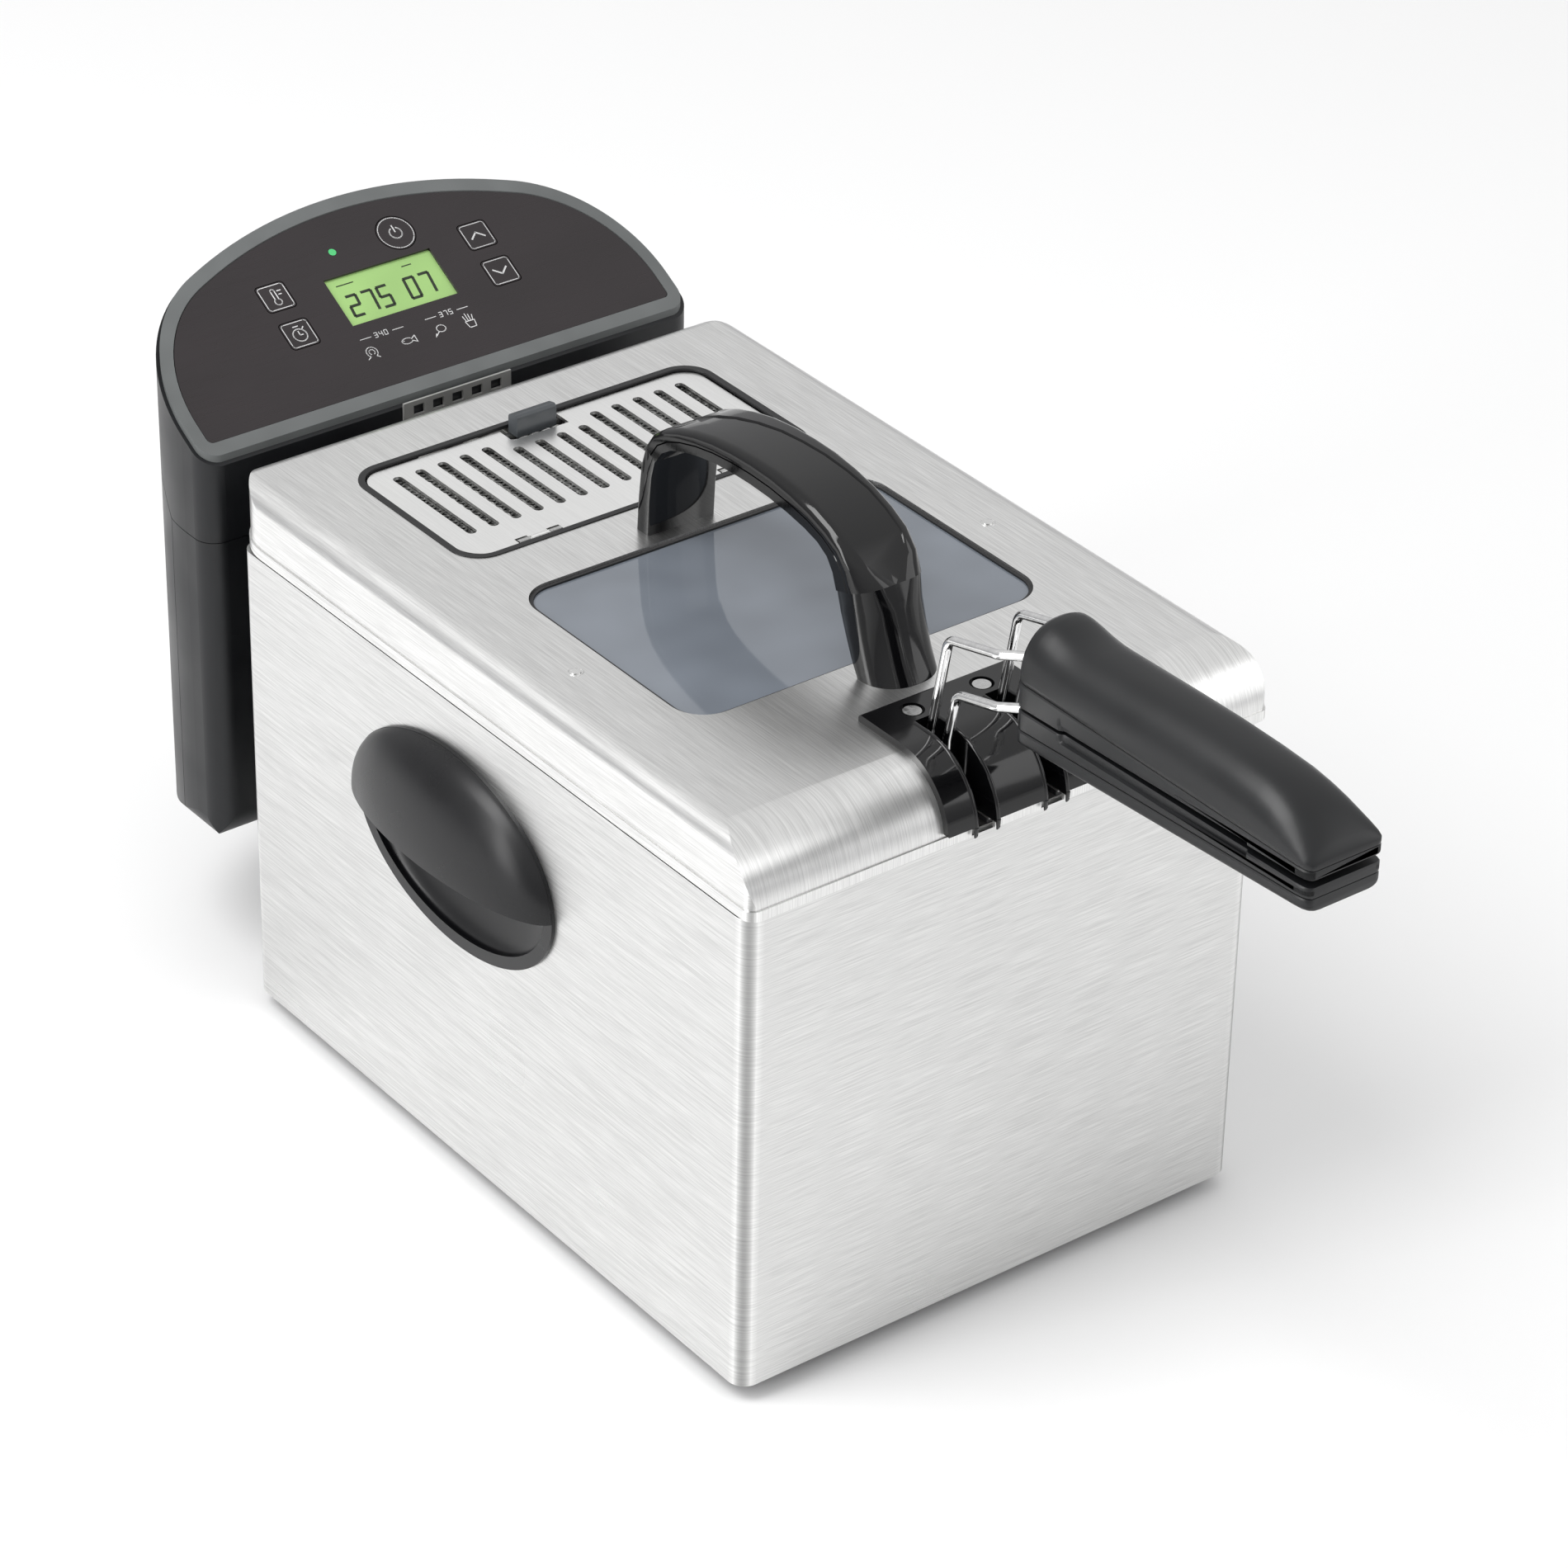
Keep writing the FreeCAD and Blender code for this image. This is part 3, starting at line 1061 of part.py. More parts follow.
def lower_wire_points(side):
    """From inside the lower grip, down through the lid's slot to an eye on the pivot bar."""
    x = side * number("wire_half_pitch")
    held = side * number("wire_grip_x")
    inside = -number("grip_start + wire_insert")
    eye_top = number("pivot_z + eye_radius - 0.6")
    jog = number("lower_grip_z + (lower_bend_z - lower_grip_z) * " + wire_share("lower_bend_y"))
    return [
        (held, inside, number("lower_grip_z + 1.5")),
        (held, -number("grip_start"), number("lower_grip_z")),
        (x, -number("wire_jog_reach"), jog),
        (x, number("lower_bend_y"), number("lower_bend_z")),
        (x, number("lower_base_y"), number("wire_base_z")),
        (x, number("lower_base_y + 2.5"), number("jog_z")),
        (side * number("eye_x"), number("pivot_y"), eye_top)]


def handle_wires():
    diameter = number("wire_diameter")
    bend = number("wire_bend")
    upper = [tube_shape(upper_wire_points(side), diameter, bend) for side in (-1, 1)]
    shaped("upper_wires", Part.makeCompound(upper))
    eyes = []
    for side in (-1, 1):
        wire = tube_shape(lower_wire_points(side), diameter, bend)
        width = number("eye_width")
        centre = FreeCAD.Vector(side * number("eye_x") - width / 2, number("pivot_y"),
                                number("pivot_z"))
        along = FreeCAD.Vector(1, 0, 0)
        eye = Part.makeCylinder(number("eye_radius"), width, centre, along)
        bore = Part.makeCylinder(number("wire_diameter / 2 + running_fit"), width + 2,
                                 centre - along, along)
        eyes.append(wire.fuse(eye).cut(bore).removeSplitter())
    shaped("lower_wires", Part.makeCompound(eyes))


def wire_tunnel(points_of):
    """The room that a pair of wires takes inside a grip."""
    width = number("wire_diameter + 2 * wire_fit")
    tool = doc.addObject("Part::Feature", "Tunnel")
    tunnels = []
    for side in (-1, 1):
        first, second = (FreeCAD.Vector(*point) for point in points_of(side)[:2])
        along = (second - first).normalize()
        start = first - along
        tunnels.append(Part.makeCylinder(width / 2, (second - first).Length - 5, start, along))
        flare = second - along * 8
        tunnels.append(Part.makeCone(width / 2, width / 2 + 1.5, 12, flare, along))
    tool.Shape = Part.makeCompound(tunnels)
    return tool


GRIP_HALF = "(grip_width / 2)"
TIP = "(-grip_reach)"
REAR = "(-grip_start)"


def grip_plan(low, high):
    return prism("XY", low, high, rectangle(
        f"-{GRIP_HALF}", GRIP_HALF, TIP, REAR, "grip_plan_corner"))


def grip_solid(corners, rounded_top):
    """A grip half: a side outline, trimmed to the plan and rounded along its outer edges."""
    side = prism("YZ", f"-{GRIP_HALF}", GRIP_HALF, corners)
    low = "(grip_bottom_rear_z - 5)"
    high = "(grip_top + grip_lip + 5)"
    top = "(grip_top + grip_lip)" if rounded_top else high
    bottom = low if rounded_top else "grip_bottom_rear_z"
    edge = "grip_edge_radius"
    section = [(f"-{GRIP_HALF}", bottom), (GRIP_HALF, bottom), (GRIP_HALF, top),
               (f"-{GRIP_HALF}", top)]
    if rounded_top:
        section = section[:2] + [corner + (edge,) for corner in section[2:]]
    across = prism("XZ", f"{TIP} - 1", f"{REAR} + 1", section)
    return common(side, across, grip_plan(low, high))


def grips():
    """Two grip halves that squeeze together; each is a pair of mouldings on its wires."""
    upper_cover = [
        (REAR, "grip_part_z"), (REAR, "grip_top + grip_lip", "3"),
        (f"{REAR} - grip_lip_length", "grip_top", "30"),
        (f"{TIP} + grip_nose_length", "grip_top - 1", "20"), (TIP, "grip_nose_z"),
        (TIP, "grip_part_z")]
    upper_base = [
        (REAR, "grip_part_z - seam"), (TIP, "grip_part_z - seam"), (TIP, "grip_gap_tip_z"),
        (REAR, "grip_gap_rear_z")]
    lower_inner = [
        (REAR, "grip_gap_rear_z - grip_gap_rear"), (TIP, "grip_gap_tip_z - grip_gap_tip"),
        (TIP, "grip_lower_part_tip_z"), (REAR, "grip_lower_part_rear_z")]
    lower_outer = [
        (REAR, "grip_lower_part_rear_z - seam"), (TIP, "grip_lower_part_tip_z - seam"),
        (TIP, "grip_bottom_tip_z", "1.5"), (REAR, "grip_bottom_rear_z", "3")]
    upper_room = wire_tunnel(upper_wire_points)
    node("grip_upper_cover", cut(grip_solid(upper_cover, True), upper_room))
    holes, screws = grip_screws()
    node("grip_upper_base", cut(grip_solid(upper_base, False), holes))
    node("grip_screws", screws)
    lower_room = wire_tunnel(lower_wire_points)
    node("grip_lower_inner", cut(grip_solid(lower_inner, False), lower_room))
    node("grip_lower_outer", cut(grip_solid(lower_outer, False), lower_room))


def grip_screws():
    """Screws from below that hold the upper grip's base to its cover."""
    holes = []
    screws = []
    for y in ("-grip_start - grip_lip_length", "-grip_reach + grip_nose_length"):
        low = "(grip_gap_tip_z - 0.2)"
        holes.append(rod("z", "0", y, "grip_gap_rear_z - 1", "grip_screw_head + 0.2",
                         f"{low} - grip_gap_rear_z + 2.4"))
        holes.append(rod("z", "0", y, "grip_gap_rear_z - 1", "grip_screw_radius + 0.1", "12"))
        screws.append(rod("z", "0", y, f"{low} - 0.4", "grip_screw_head", "1.6"))
        screws.append(rod("z", "0", y, f"{low}", "grip_screw_radius", "grip_part_z - seam - " + low))
    return fuse(*holes), fuse(*screws)


# ---------------------------------------------------------------- control unit


def d_plan(inset):
    """The control unit's plan: straight front, round shoulders and an arched back."""
    half = f"(tower_half_width - ({inset}))"
    front = f"({TOWER_FRONT} + ({inset}))"
    rear = f"({TOWER_REAR} - ({inset}))"
    arch = f"(tower_rear_radius - ({inset}))"
    slope = "(tower_rear_slope * 1deg)"
    apex = f"({rear} + {arch} * (1 / cos{slope} - 1))"
    shoulder_y = f"({apex} - {half} * tan{slope})"
    shoulder = f"(tower_shoulder - ({inset}))"
    corner = f"max(tower_front_corner - ({inset}); 2)"
    return [(f"-{half}", front, corner), (half, front, corner),
            (half, shoulder_y, shoulder), ("0", apex, arch), (f"-{half}", shoulder_y, shoulder)]


def slope_height(y, drop="0"):
    """The height of the tilted panel plane at y, less a depth square to it."""
    return f"(head_front_height + (({y}) - {TOWER_FRONT}) * tan{TILT} - ({drop}) / cos{TILT})"


def control_form(inset, top_drop):
    """The control unit's outer form drawn in by inset, cut off below the panel plane."""
    front = f"({TOWER_FRONT} + ({inset}))"
    rear = f"({TOWER_REAR} - ({inset}))"
    low = f"(tower_bottom + ({inset}))"
    half = f"(tower_half_width - ({inset}))"
    plan = prism("XY", f"{low} - 1", "head_front_height + 80", d_plan(inset))
    side = prism("YZ", f"-{half} - 1", f"{half} + 1", [
        (front, low, f"tower_bottom_front_radius - ({inset})"),
        (rear, low, f"tower_bottom_rear_radius - ({inset})"),
        (rear, slope_height(rear, top_drop)), (front, slope_height(front, top_drop))])
    face = prism("XZ", f"{front} - 1", f"{rear} + 1", [
        (f"-{half}", low, f"tower_bottom_side_radius - ({inset})"),
        (half, low, f"tower_bottom_side_radius - ({inset})"),
        (half, "head_front_height + 70"), (f"-{half}", "head_front_height + 70")])
    return common(plan, side, face)


def region(corners):
    """A slab across the whole control unit, for splitting its shell."""
    return prism("YZ", "-tower_half_width - 5", "tower_half_width + 5", corners)


def control_shells():
    far_front = f"({TOWER_FRONT} - 10)"
    far_rear = f"({TOWER_REAR} + 10)"
    sky = "(head_front_height + 90)"
    ground = "(tower_bottom - 10)"
    gap = "(seam / 2)"
    hollow = control_form("tower_wall", "-20")
    shell = cut(control_form("0", "bezel_thickness"), hollow)
    head_zone = region([
        (far_front, f"head_seam_z + {gap}"), (f"split_y - {gap}", f"head_seam_z + {gap}"),
        (f"split_y + split_rise - {gap}", f"head_seam_z + split_rise + {gap}"),
        (far_rear, f"head_seam_z + split_rise + {gap}"), (far_rear, sky), (far_front, sky)])
    front_zone = region([
        (far_front, ground), (f"split_y - {gap}", ground),
        (f"split_y - {gap}", f"head_seam_z - {gap}"), (far_front, f"head_seam_z - {gap}")])
    rear_zone = region([
        (f"split_y + {gap}", ground), (far_rear, ground),
        (far_rear, f"head_seam_z + split_rise - {gap}"),
        (f"split_y + split_rise + {gap}", f"head_seam_z + split_rise - {gap}"),
        (f"split_y + {gap}", f"head_seam_z - {gap}")])
    duct = block("-bracket_half_width - 1", "bracket_half_width + 1", far_front,
                 f"{TOWER_FRONT} + 10", "bracket_z - 1", "element_z + element_radius + 1")
    node("head_shell", cut(common(shell, head_zone), duct))

    mount = block("-block_half_width", "block_half_width", "housing_depth + block_gap",
                  f"{TOWER_FRONT} + tower_wall", "block_bottom", "block_top")
    cavity = block("-block_half_width + tower_wall", "block_half_width - tower_wall",
                   "housing_depth + block_gap + tower_wall", f"{TOWER_FRONT} + tower_wall + 1",
                   "block_bottom + tower_wall", "block_top - tower_wall")
    node("tower_front_shell", cut(fuse(common(shell, front_zone), mount), cavity))

    port = block("-inlet_half_width - inlet_fit", "inlet_half_width + inlet_fit",
                 f"{TOWER_REAR} - 20", far_rear, "inlet_z - inlet_height / 2 - inlet_fit",
                 "inlet_z + inlet_height / 2 + inlet_fit")
    bore = rod("y", "reset_x", f"{TOWER_REAR} - 20", "reset_z", "reset_radius + reset_sleeve_gap",
               "40")
    bosses = []
    holes = [port, bore]
    screws = []
    for x in ("-cover_screw_x", "cover_screw_x"):
        skin_y = f"({TOWER_REAR} - cover_screw_x * cover_screw_x / (2 * tower_rear_radius))"
        start = f"({skin_y} - boss_depth)"
        seat = f"({start} + boss_wall)"
        for z in ("cover_screw_low", "cover_screw_high"):
            bosses.append(rod("y", x, start, z, "cover_screw_head + boss_wall", "boss_depth - 1.5"))
            holes.append(rod("y", x, seat, z, "cover_screw_head + 0.2", "30"))
            holes.append(rod("y", x, f"{start} - 1", z, "cover_screw_shank", "5"))
            screws.append(rod("y", x, seat, z, "cover_screw_head", "2.2"))
            screws.append(rod("y", x, f"{seat} - 14", z, "cover_screw_shank", "14"))
    node("tower_rear_cover", cut(fuse(common(shell, rear_zone), *bosses), *holes))
    node("rear_cover_screws", fuse(*screws))


def panel():
    """The tilted panel: a bezel ring, a dark overlay, a display, a lamp and five keys."""
    plate = panel_prism("-bezel_thickness", "0", rectangle(
        "-tower_half_width - 5", "tower_half_width + 5", "-20", "tower_depth * 2"))
    low = "(head_front_height - 30)"
    sky = "(head_front_height + 90)"
    ring = cut(prism("XY", low, sky, d_plan("bezel_inset")),
               prism("XY", f"{low} - 1", f"{sky} + 1", d_plan("bezel_inset + bezel_ring")))
    node("panel_bezel", common(ring, plate))
    sheet_top = "(-overlay_recess)"
    sheet_low = "(-overlay_recess - overlay_thickness)"
    slab = panel_prism(sheet_low, sheet_top, rectangle(
        "-tower_half_width - 5", "tower_half_width + 5", "-20", "tower_depth * 2"))
    body = common(prism("XY", low, sky, d_plan("bezel_inset + bezel_ring + overlay_fit")), slab)
    half = "(key_size / 2 + key_fit)"
    holes = [rectangle("-lcd_width / 2", "lcd_width / 2", "lcd_low", "lcd_low + lcd_height"),
             ("start_key_x", "start_key_v", "start_key_radius + key_fit"),
             ("-lamp_x", "lamp_v", "lamp_radius + 0.1")]
    for x, v in square_keys().values():
        holes.append(rectangle(f"{x} - {half}", f"{x} + {half}", f"{v} - {half}",
                               f"{v} + {half}", "key_corner + key_fit"))
    node("panel_overlay", cut(body, panel_prism(f"{sheet_low} - 1", "1", *holes)))

    display = Moulding("lcd_display", on_panel=True)
    display.pad("XY", f"{sheet_low} - lcd_thickness", sheet_low, rectangle(
        "-lcd_width / 2 - lcd_margin", "lcd_width / 2 + lcd_margin", "lcd_low - lcd_margin",
        "lcd_low + lcd_height + lcd_margin"))
    board_top = "(-board_depth)"
    lamp = Moulding("ready_lamp", on_panel=True)
    lamp.pad("XY", board_top, sheet_top, ("-lamp_x", "lamp_v", "lamp_radius"))
    board = Moulding("circuit_board", on_panel=True)
    board.pad("XY", f"{board_top} - board_thickness", board_top, rectangle(
        "-board_width / 2", "board_width / 2", "board_low", "board_high", "3"))

    key_low = f"({sheet_top} - key_length)"
    start = Moulding("key_start", on_panel=True)
    start.pad("XY", key_low, sheet_top, ("start_key_x", "start_key_v", "start_key_radius"))
    size = "(key_size / 2)"
    for label, (x, v) in square_keys().items():
        key = Moulding(label, on_panel=True)
        key.pad("XY", key_low, sheet_top, rectangle(
            f"{x} - {size}", f"{x} + {size}", f"{v} - {size}", f"{v} + {size}", "key_corner"))
    switch_top = f"({key_low} - key_switch_gap)"
    places = list(square_keys().values()) + [("start_key_x", "start_key_v")]
    domes = [(x, v, "2.5") for x, v in places]
    switches = panel_prism(board_top, switch_top, *domes)
    node("key_switches", fuse(switches))


def square_keys():
    return {
        "key_set_temp": ("(-side_key_x)", "upper_key_v"),
        "key_timer": ("(-side_key_x)", "lower_key_v"),
        "key_up": ("side_key_x", "upper_key_v"),
        "key_down": ("side_key_x", "lower_key_v"),
    }


def guide_rails():
    """Two angle strips on the housing's back that the control unit slides between."""
    rail = Moulding("guide_rails")
    near = "(block_half_width + rail_play)"
    rear = "(housing_depth + rail_depth)"
    for sign in ("-", ""):
        inner = f"({sign}{near})"
        outer = f"({sign}({near} + rail_width))"
        web = f"({sign}({near} + rail_thickness))"
        corners = [(inner, "housing_depth"), (outer, "housing_depth"),
                   (outer, "housing_depth + rail_thickness"),
                   (web, "housing_depth + rail_thickness"), (web, rear), (inner, rear)]
        rail.pad("XY", "rail_bottom", "housing_height - rail_drop", corners)


def heating_element():
    """One tubular element: down the pot's back wall, round its floor and up again."""
    n = number
    tail = n(f"{TOWER_FRONT} + element_tail")
    riser = n("element_riser_y")
    leg = n("element_half_pitch")
    outer = n("element_outer_x")
    inner = n("element_inner_x")
    high = n("element_z")
    low = n("element_floor_z")
    front = n("element_front_y")
    back = n("element_back_y")
    middle = n("element_mid_y")
    half_loop = [(leg, tail, high), (leg, riser, high), (leg, riser, low), (leg, back, low),
                 (outer, back, low), (outer, front, low), (inner, front, low),
                 (inner, middle, low)]
    other = [(-x, y, z) for x, y, z in reversed(half_loop)]
    shaped("heating_element", tube_shape(half_loop + other, 2 * n("element_radius"),
                                         n("element_bend")))
    probe = [(0, tail, high), (0, riser, high), (0, riser, n("probe_foot_z"))]
    shaped("temperature_probe", tube_shape(probe, 2 * n("probe_radius"), n("element_bend")))


def element_bracket():
    """Bright sheet that carries the element over the pot's rim, with a slotted back edge."""
    half = "bracket_half_width"
    top_face = "(bracket_z + bracket_gauge)"
    back = f"({TOWER_FRONT} - 0.6)"
    sheet_metal = fuse(
        block(f"-{half}", half, "bracket_front_y", back, "bracket_z", top_face),
        block(f"-{half}", half, f"{back} - bracket_gauge", back, "bracket_z", "bracket_top"),
        block(f"-{half}", half, "bracket_front_y", "bracket_front_y + bracket_gauge",
              "bracket_foot_z", top_face))
    holes = []
    for index in range(5):
        x = f"(({index} - 2) * bracket_slot * 1.8)"
        holes.append(block(f"{x} - bracket_slot / 2", f"{x} + bracket_slot / 2",
                           f"{back} - 5", f"{back} + 5", "bracket_top - 6", "bracket_top - 2"))
    for x in ("-element_half_pitch", "0", "element_half_pitch"):
        room = "(element_radius + 0.3)"
        holes.append(block(f"{x} - {room}", f"{x} + {room}", f"element_riser_y - {room}",
                           f"element_riser_y + {room} + element_bend / 2", "bracket_z - 5",
                           "bracket_z + 5"))
        holes.append(rod("y", x, f"{back} - 5", "element_z", "element_radius + 0.3", "10"))
    node("element_bracket", cut(sheet_metal, *holes))


# ---------------------------------------------------------------- mains parts in the tower


def mains_parts():
    face = f"({TOWER_REAR} - inlet_inset)"
    low = "(inlet_z - inlet_height / 2)"
    high = "(inlet_z + inlet_height / 2)"
    inlet = Moulding("power_inlet")
    inlet.pad("XZ", f"{face} - inlet_depth", face, rectangle(
        "-inlet_half_width", "inlet_half_width", low, high, "2"))
    inlet.pocket("XZ", f"{face} - inlet_cavity", f"{face} + 1", rectangle(
        "-inlet_half_width + inlet_wall", "inlet_half_width - inlet_wall",
        f"{low} + inlet_wall", f"{high} - inlet_wall", "2"))
    pins = []
    for x in ("-inlet_pin_half_pitch", "inlet_pin_half_pitch"):
        pins.append(rod("y", x, f"{face} - inlet_cavity", "inlet_z", "inlet_pin_radius",
                        "inlet_pin_length"))
    node("inlet_pins", fuse(*pins))
    button = Moulding("reset_button")
    button_face = f"({TOWER_REAR} - reset_x * reset_x / (2 * tower_rear_radius) + reset_proud)"
    button.pad("XZ", f"{button_face} - reset_length", button_face,
               ("reset_x", "reset_z", "reset_radius"))
    cutout = Moulding("thermal_cutout")
    seat = f"({button_face} - reset_length - reset_travel - 1)"
    cutout.pad("XZ", f"{seat} - 9", seat, ("reset_x", "reset_z", "7"))
    board = Moulding("power_board")
    board.pad("XZ", "power_board_y", "power_board_y + board_thickness", rectangle(
        "-power_board_half", "power_board_half", "power_board_low", "power_board_high", "3"))
    switch = Moulding("safety_switch")
    switch.pad("XZ", "housing_depth + block_gap + tower_wall + 0.5",
               "housing_depth + block_gap + tower_wall + 10", rectangle(
                   "-10", "10", "block_top - 20", "block_top - 8"))


# ---------------------------------------------------------------- build, check and export

housing_shell()
base_plate()
rubber_feet()
oil_pot()
side_handles()
guide_rails()
lid_shell()
lid_inner_pan()
lid_gasket()
window()
lid_handle()
front_saddle()
vent_cover()
filter_frame()
filters()
vent_gasket()
vent_latch()
lid_rivets()
basket()
handle_wires()
grips()
control_shells()
panel()
heating_element()
element_bracket()
mains_parts()
doc.recompute()

problems = []
for thing in doc.Objects:
    if "Invalid" in thing.State or "Error" in thing.State:
        problems.append("%s (%s): %s" % (thing.Name, thing.Label, ", ".join(thing.State)))
for label, piece in nodes.items():
    if piece.Shape.isNull() or not piece.Shape.isValid() or not piece.Shape.Solids:
        problems.append(label + ": no valid solid")
if problems:
    raise RuntimeError("the model did not build:\n" + "\n".join(problems))

os.makedirs("parts", exist_ok=True)
for label, piece in nodes.items():
    piece.Shape.exportStep(os.path.join("parts", label + ".step"))
print(len(nodes), "nodes written")
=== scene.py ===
import json
import math

import bmesh
import bpy
from mathutils import Matrix, Vector


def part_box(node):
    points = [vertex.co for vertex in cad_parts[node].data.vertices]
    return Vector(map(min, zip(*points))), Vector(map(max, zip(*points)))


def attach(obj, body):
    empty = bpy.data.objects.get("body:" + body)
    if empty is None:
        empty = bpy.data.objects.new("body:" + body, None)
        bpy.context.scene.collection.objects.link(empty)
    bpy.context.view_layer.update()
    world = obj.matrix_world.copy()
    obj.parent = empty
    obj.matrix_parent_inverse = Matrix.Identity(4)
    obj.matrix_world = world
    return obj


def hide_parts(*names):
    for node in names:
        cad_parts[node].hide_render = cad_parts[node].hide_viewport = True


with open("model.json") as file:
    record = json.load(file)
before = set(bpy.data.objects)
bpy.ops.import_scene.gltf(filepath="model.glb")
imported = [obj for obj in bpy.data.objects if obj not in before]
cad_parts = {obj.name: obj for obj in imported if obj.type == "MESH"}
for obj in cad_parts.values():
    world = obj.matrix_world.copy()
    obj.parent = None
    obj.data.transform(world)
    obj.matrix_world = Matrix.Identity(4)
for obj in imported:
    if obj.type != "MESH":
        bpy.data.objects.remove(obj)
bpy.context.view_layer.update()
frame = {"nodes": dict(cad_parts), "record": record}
nodes = frame["nodes"]

# ------------------------------------------------------------------ the frame of reference
# Places are given in millimetres in housing coordinates: X from the plane of symmetry,
# Y back from the housing's front wall, Z up from the housing's lower edge.

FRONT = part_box("housing_shell")[0].y * 1000
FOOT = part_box("housing_shell")[0].z * 1000


def at(x, y, z):
    return Vector((x / 1000, (y + FRONT) / 1000, (z + FOOT) / 1000))


TILT = math.radians(28.5)
PANEL_Y, PANEL_Z = 343.0, 221.0
OVERLAY_DEPTH = 0.2


def on_panel(x, v, height=0.0):
    """A point on the tilted panel: v runs up its slope, height stands square to it."""
    h = height - OVERLAY_DEPTH
    return at(x, PANEL_Y + v * math.cos(TILT) - h * math.sin(TILT),
              PANEL_Z + v * math.sin(TILT) + h * math.cos(TILT))


# ------------------------------------------------------------------ materials


class Look:
    """A material built from nodes, with the few links that every finish here needs."""

    def __init__(self, name, color, metallic=0.0, rough=0.4, **inputs):
        self.material = bpy.data.materials.new(name)
        self.material.use_nodes = True
        self.tree = self.material.node_tree
        self.shader = self.tree.nodes["Principled BSDF"]
        self.color = color
        self.rough = rough
        self.set("Base Color", (*color, 1.0))
        self.set("Metallic", metallic)
        self.set("Roughness", rough)
        for key, value in inputs.items():
            self.set(key.replace("_", " "), value)
        self.height = None

    def set(self, socket, value):
        self.shader.inputs[socket].default_value = value

    def node(self, kind, **values):
        made = self.tree.nodes.new(kind)
        for key, value in values.items():
            if hasattr(made, key):
                setattr(made, key, value)
            else:
                made.inputs[key].default_value = value
        return made

    def link(self, source, target):
        self.tree.links.new(source, target)

    def pattern(self, scale, detail=3.0, roughness=0.6):
        """Noise stretched by its scale in each direction, in object space."""
        coords = self.node("ShaderNodeTexCoord")
        mapping = self.node("ShaderNodeMapping")
        mapping.inputs["Scale"].default_value = scale
        noise = self.node("ShaderNodeTexNoise")
        noise.inputs["Scale"].default_value = 1.0
        noise.inputs["Detail"].default_value = detail
        noise.inputs["Roughness"].default_value = roughness
        self.link(coords.outputs["Object"], mapping.inputs["Vector"])
        self.link(mapping.outputs["Vector"], noise.inputs["Vector"])
        return noise.outputs["Fac"]

    def spread(self, factor, low, high, start=0.3, end=0.7):
        ranged = self.node("ShaderNodeMapRange")
        ranged.inputs["From Min"].default_value = start
        ranged.inputs["From Max"].default_value = end
        ranged.inputs["To Min"].default_value = low
        ranged.inputs["To Max"].default_value = high
        self.link(factor, ranged.inputs["Value"])
        return ranged.outputs["Result"]

    def vary_color(self, factor, low, high):
        mix = self.node("ShaderNodeMix", data_type="RGBA")
        mix.inputs[6].default_value = (*low, 1.0)
        mix.inputs[7].default_value = (*high, 1.0)
        self.link(factor, mix.inputs[0])
        self.link(mix.outputs[2], self.shader.inputs["Base Color"])

    def vary_rough(self, factor, low, high):
        self.link(self.spread(factor, low, high), self.shader.inputs["Roughness"])

    def bump(self, factor, strength, distance):
        bump = self.node("ShaderNodeBump")
        bump.inputs["Strength"].default_value = strength
        bump.inputs["Distance"].default_value = distance
        self.link(factor, bump.inputs["Height"])
        if self.height is not None:
            self.link(self.height, bump.inputs["Normal"])
        self.height = bump.outputs["Normal"]
        self.link(self.height, self.shader.inputs["Normal"])


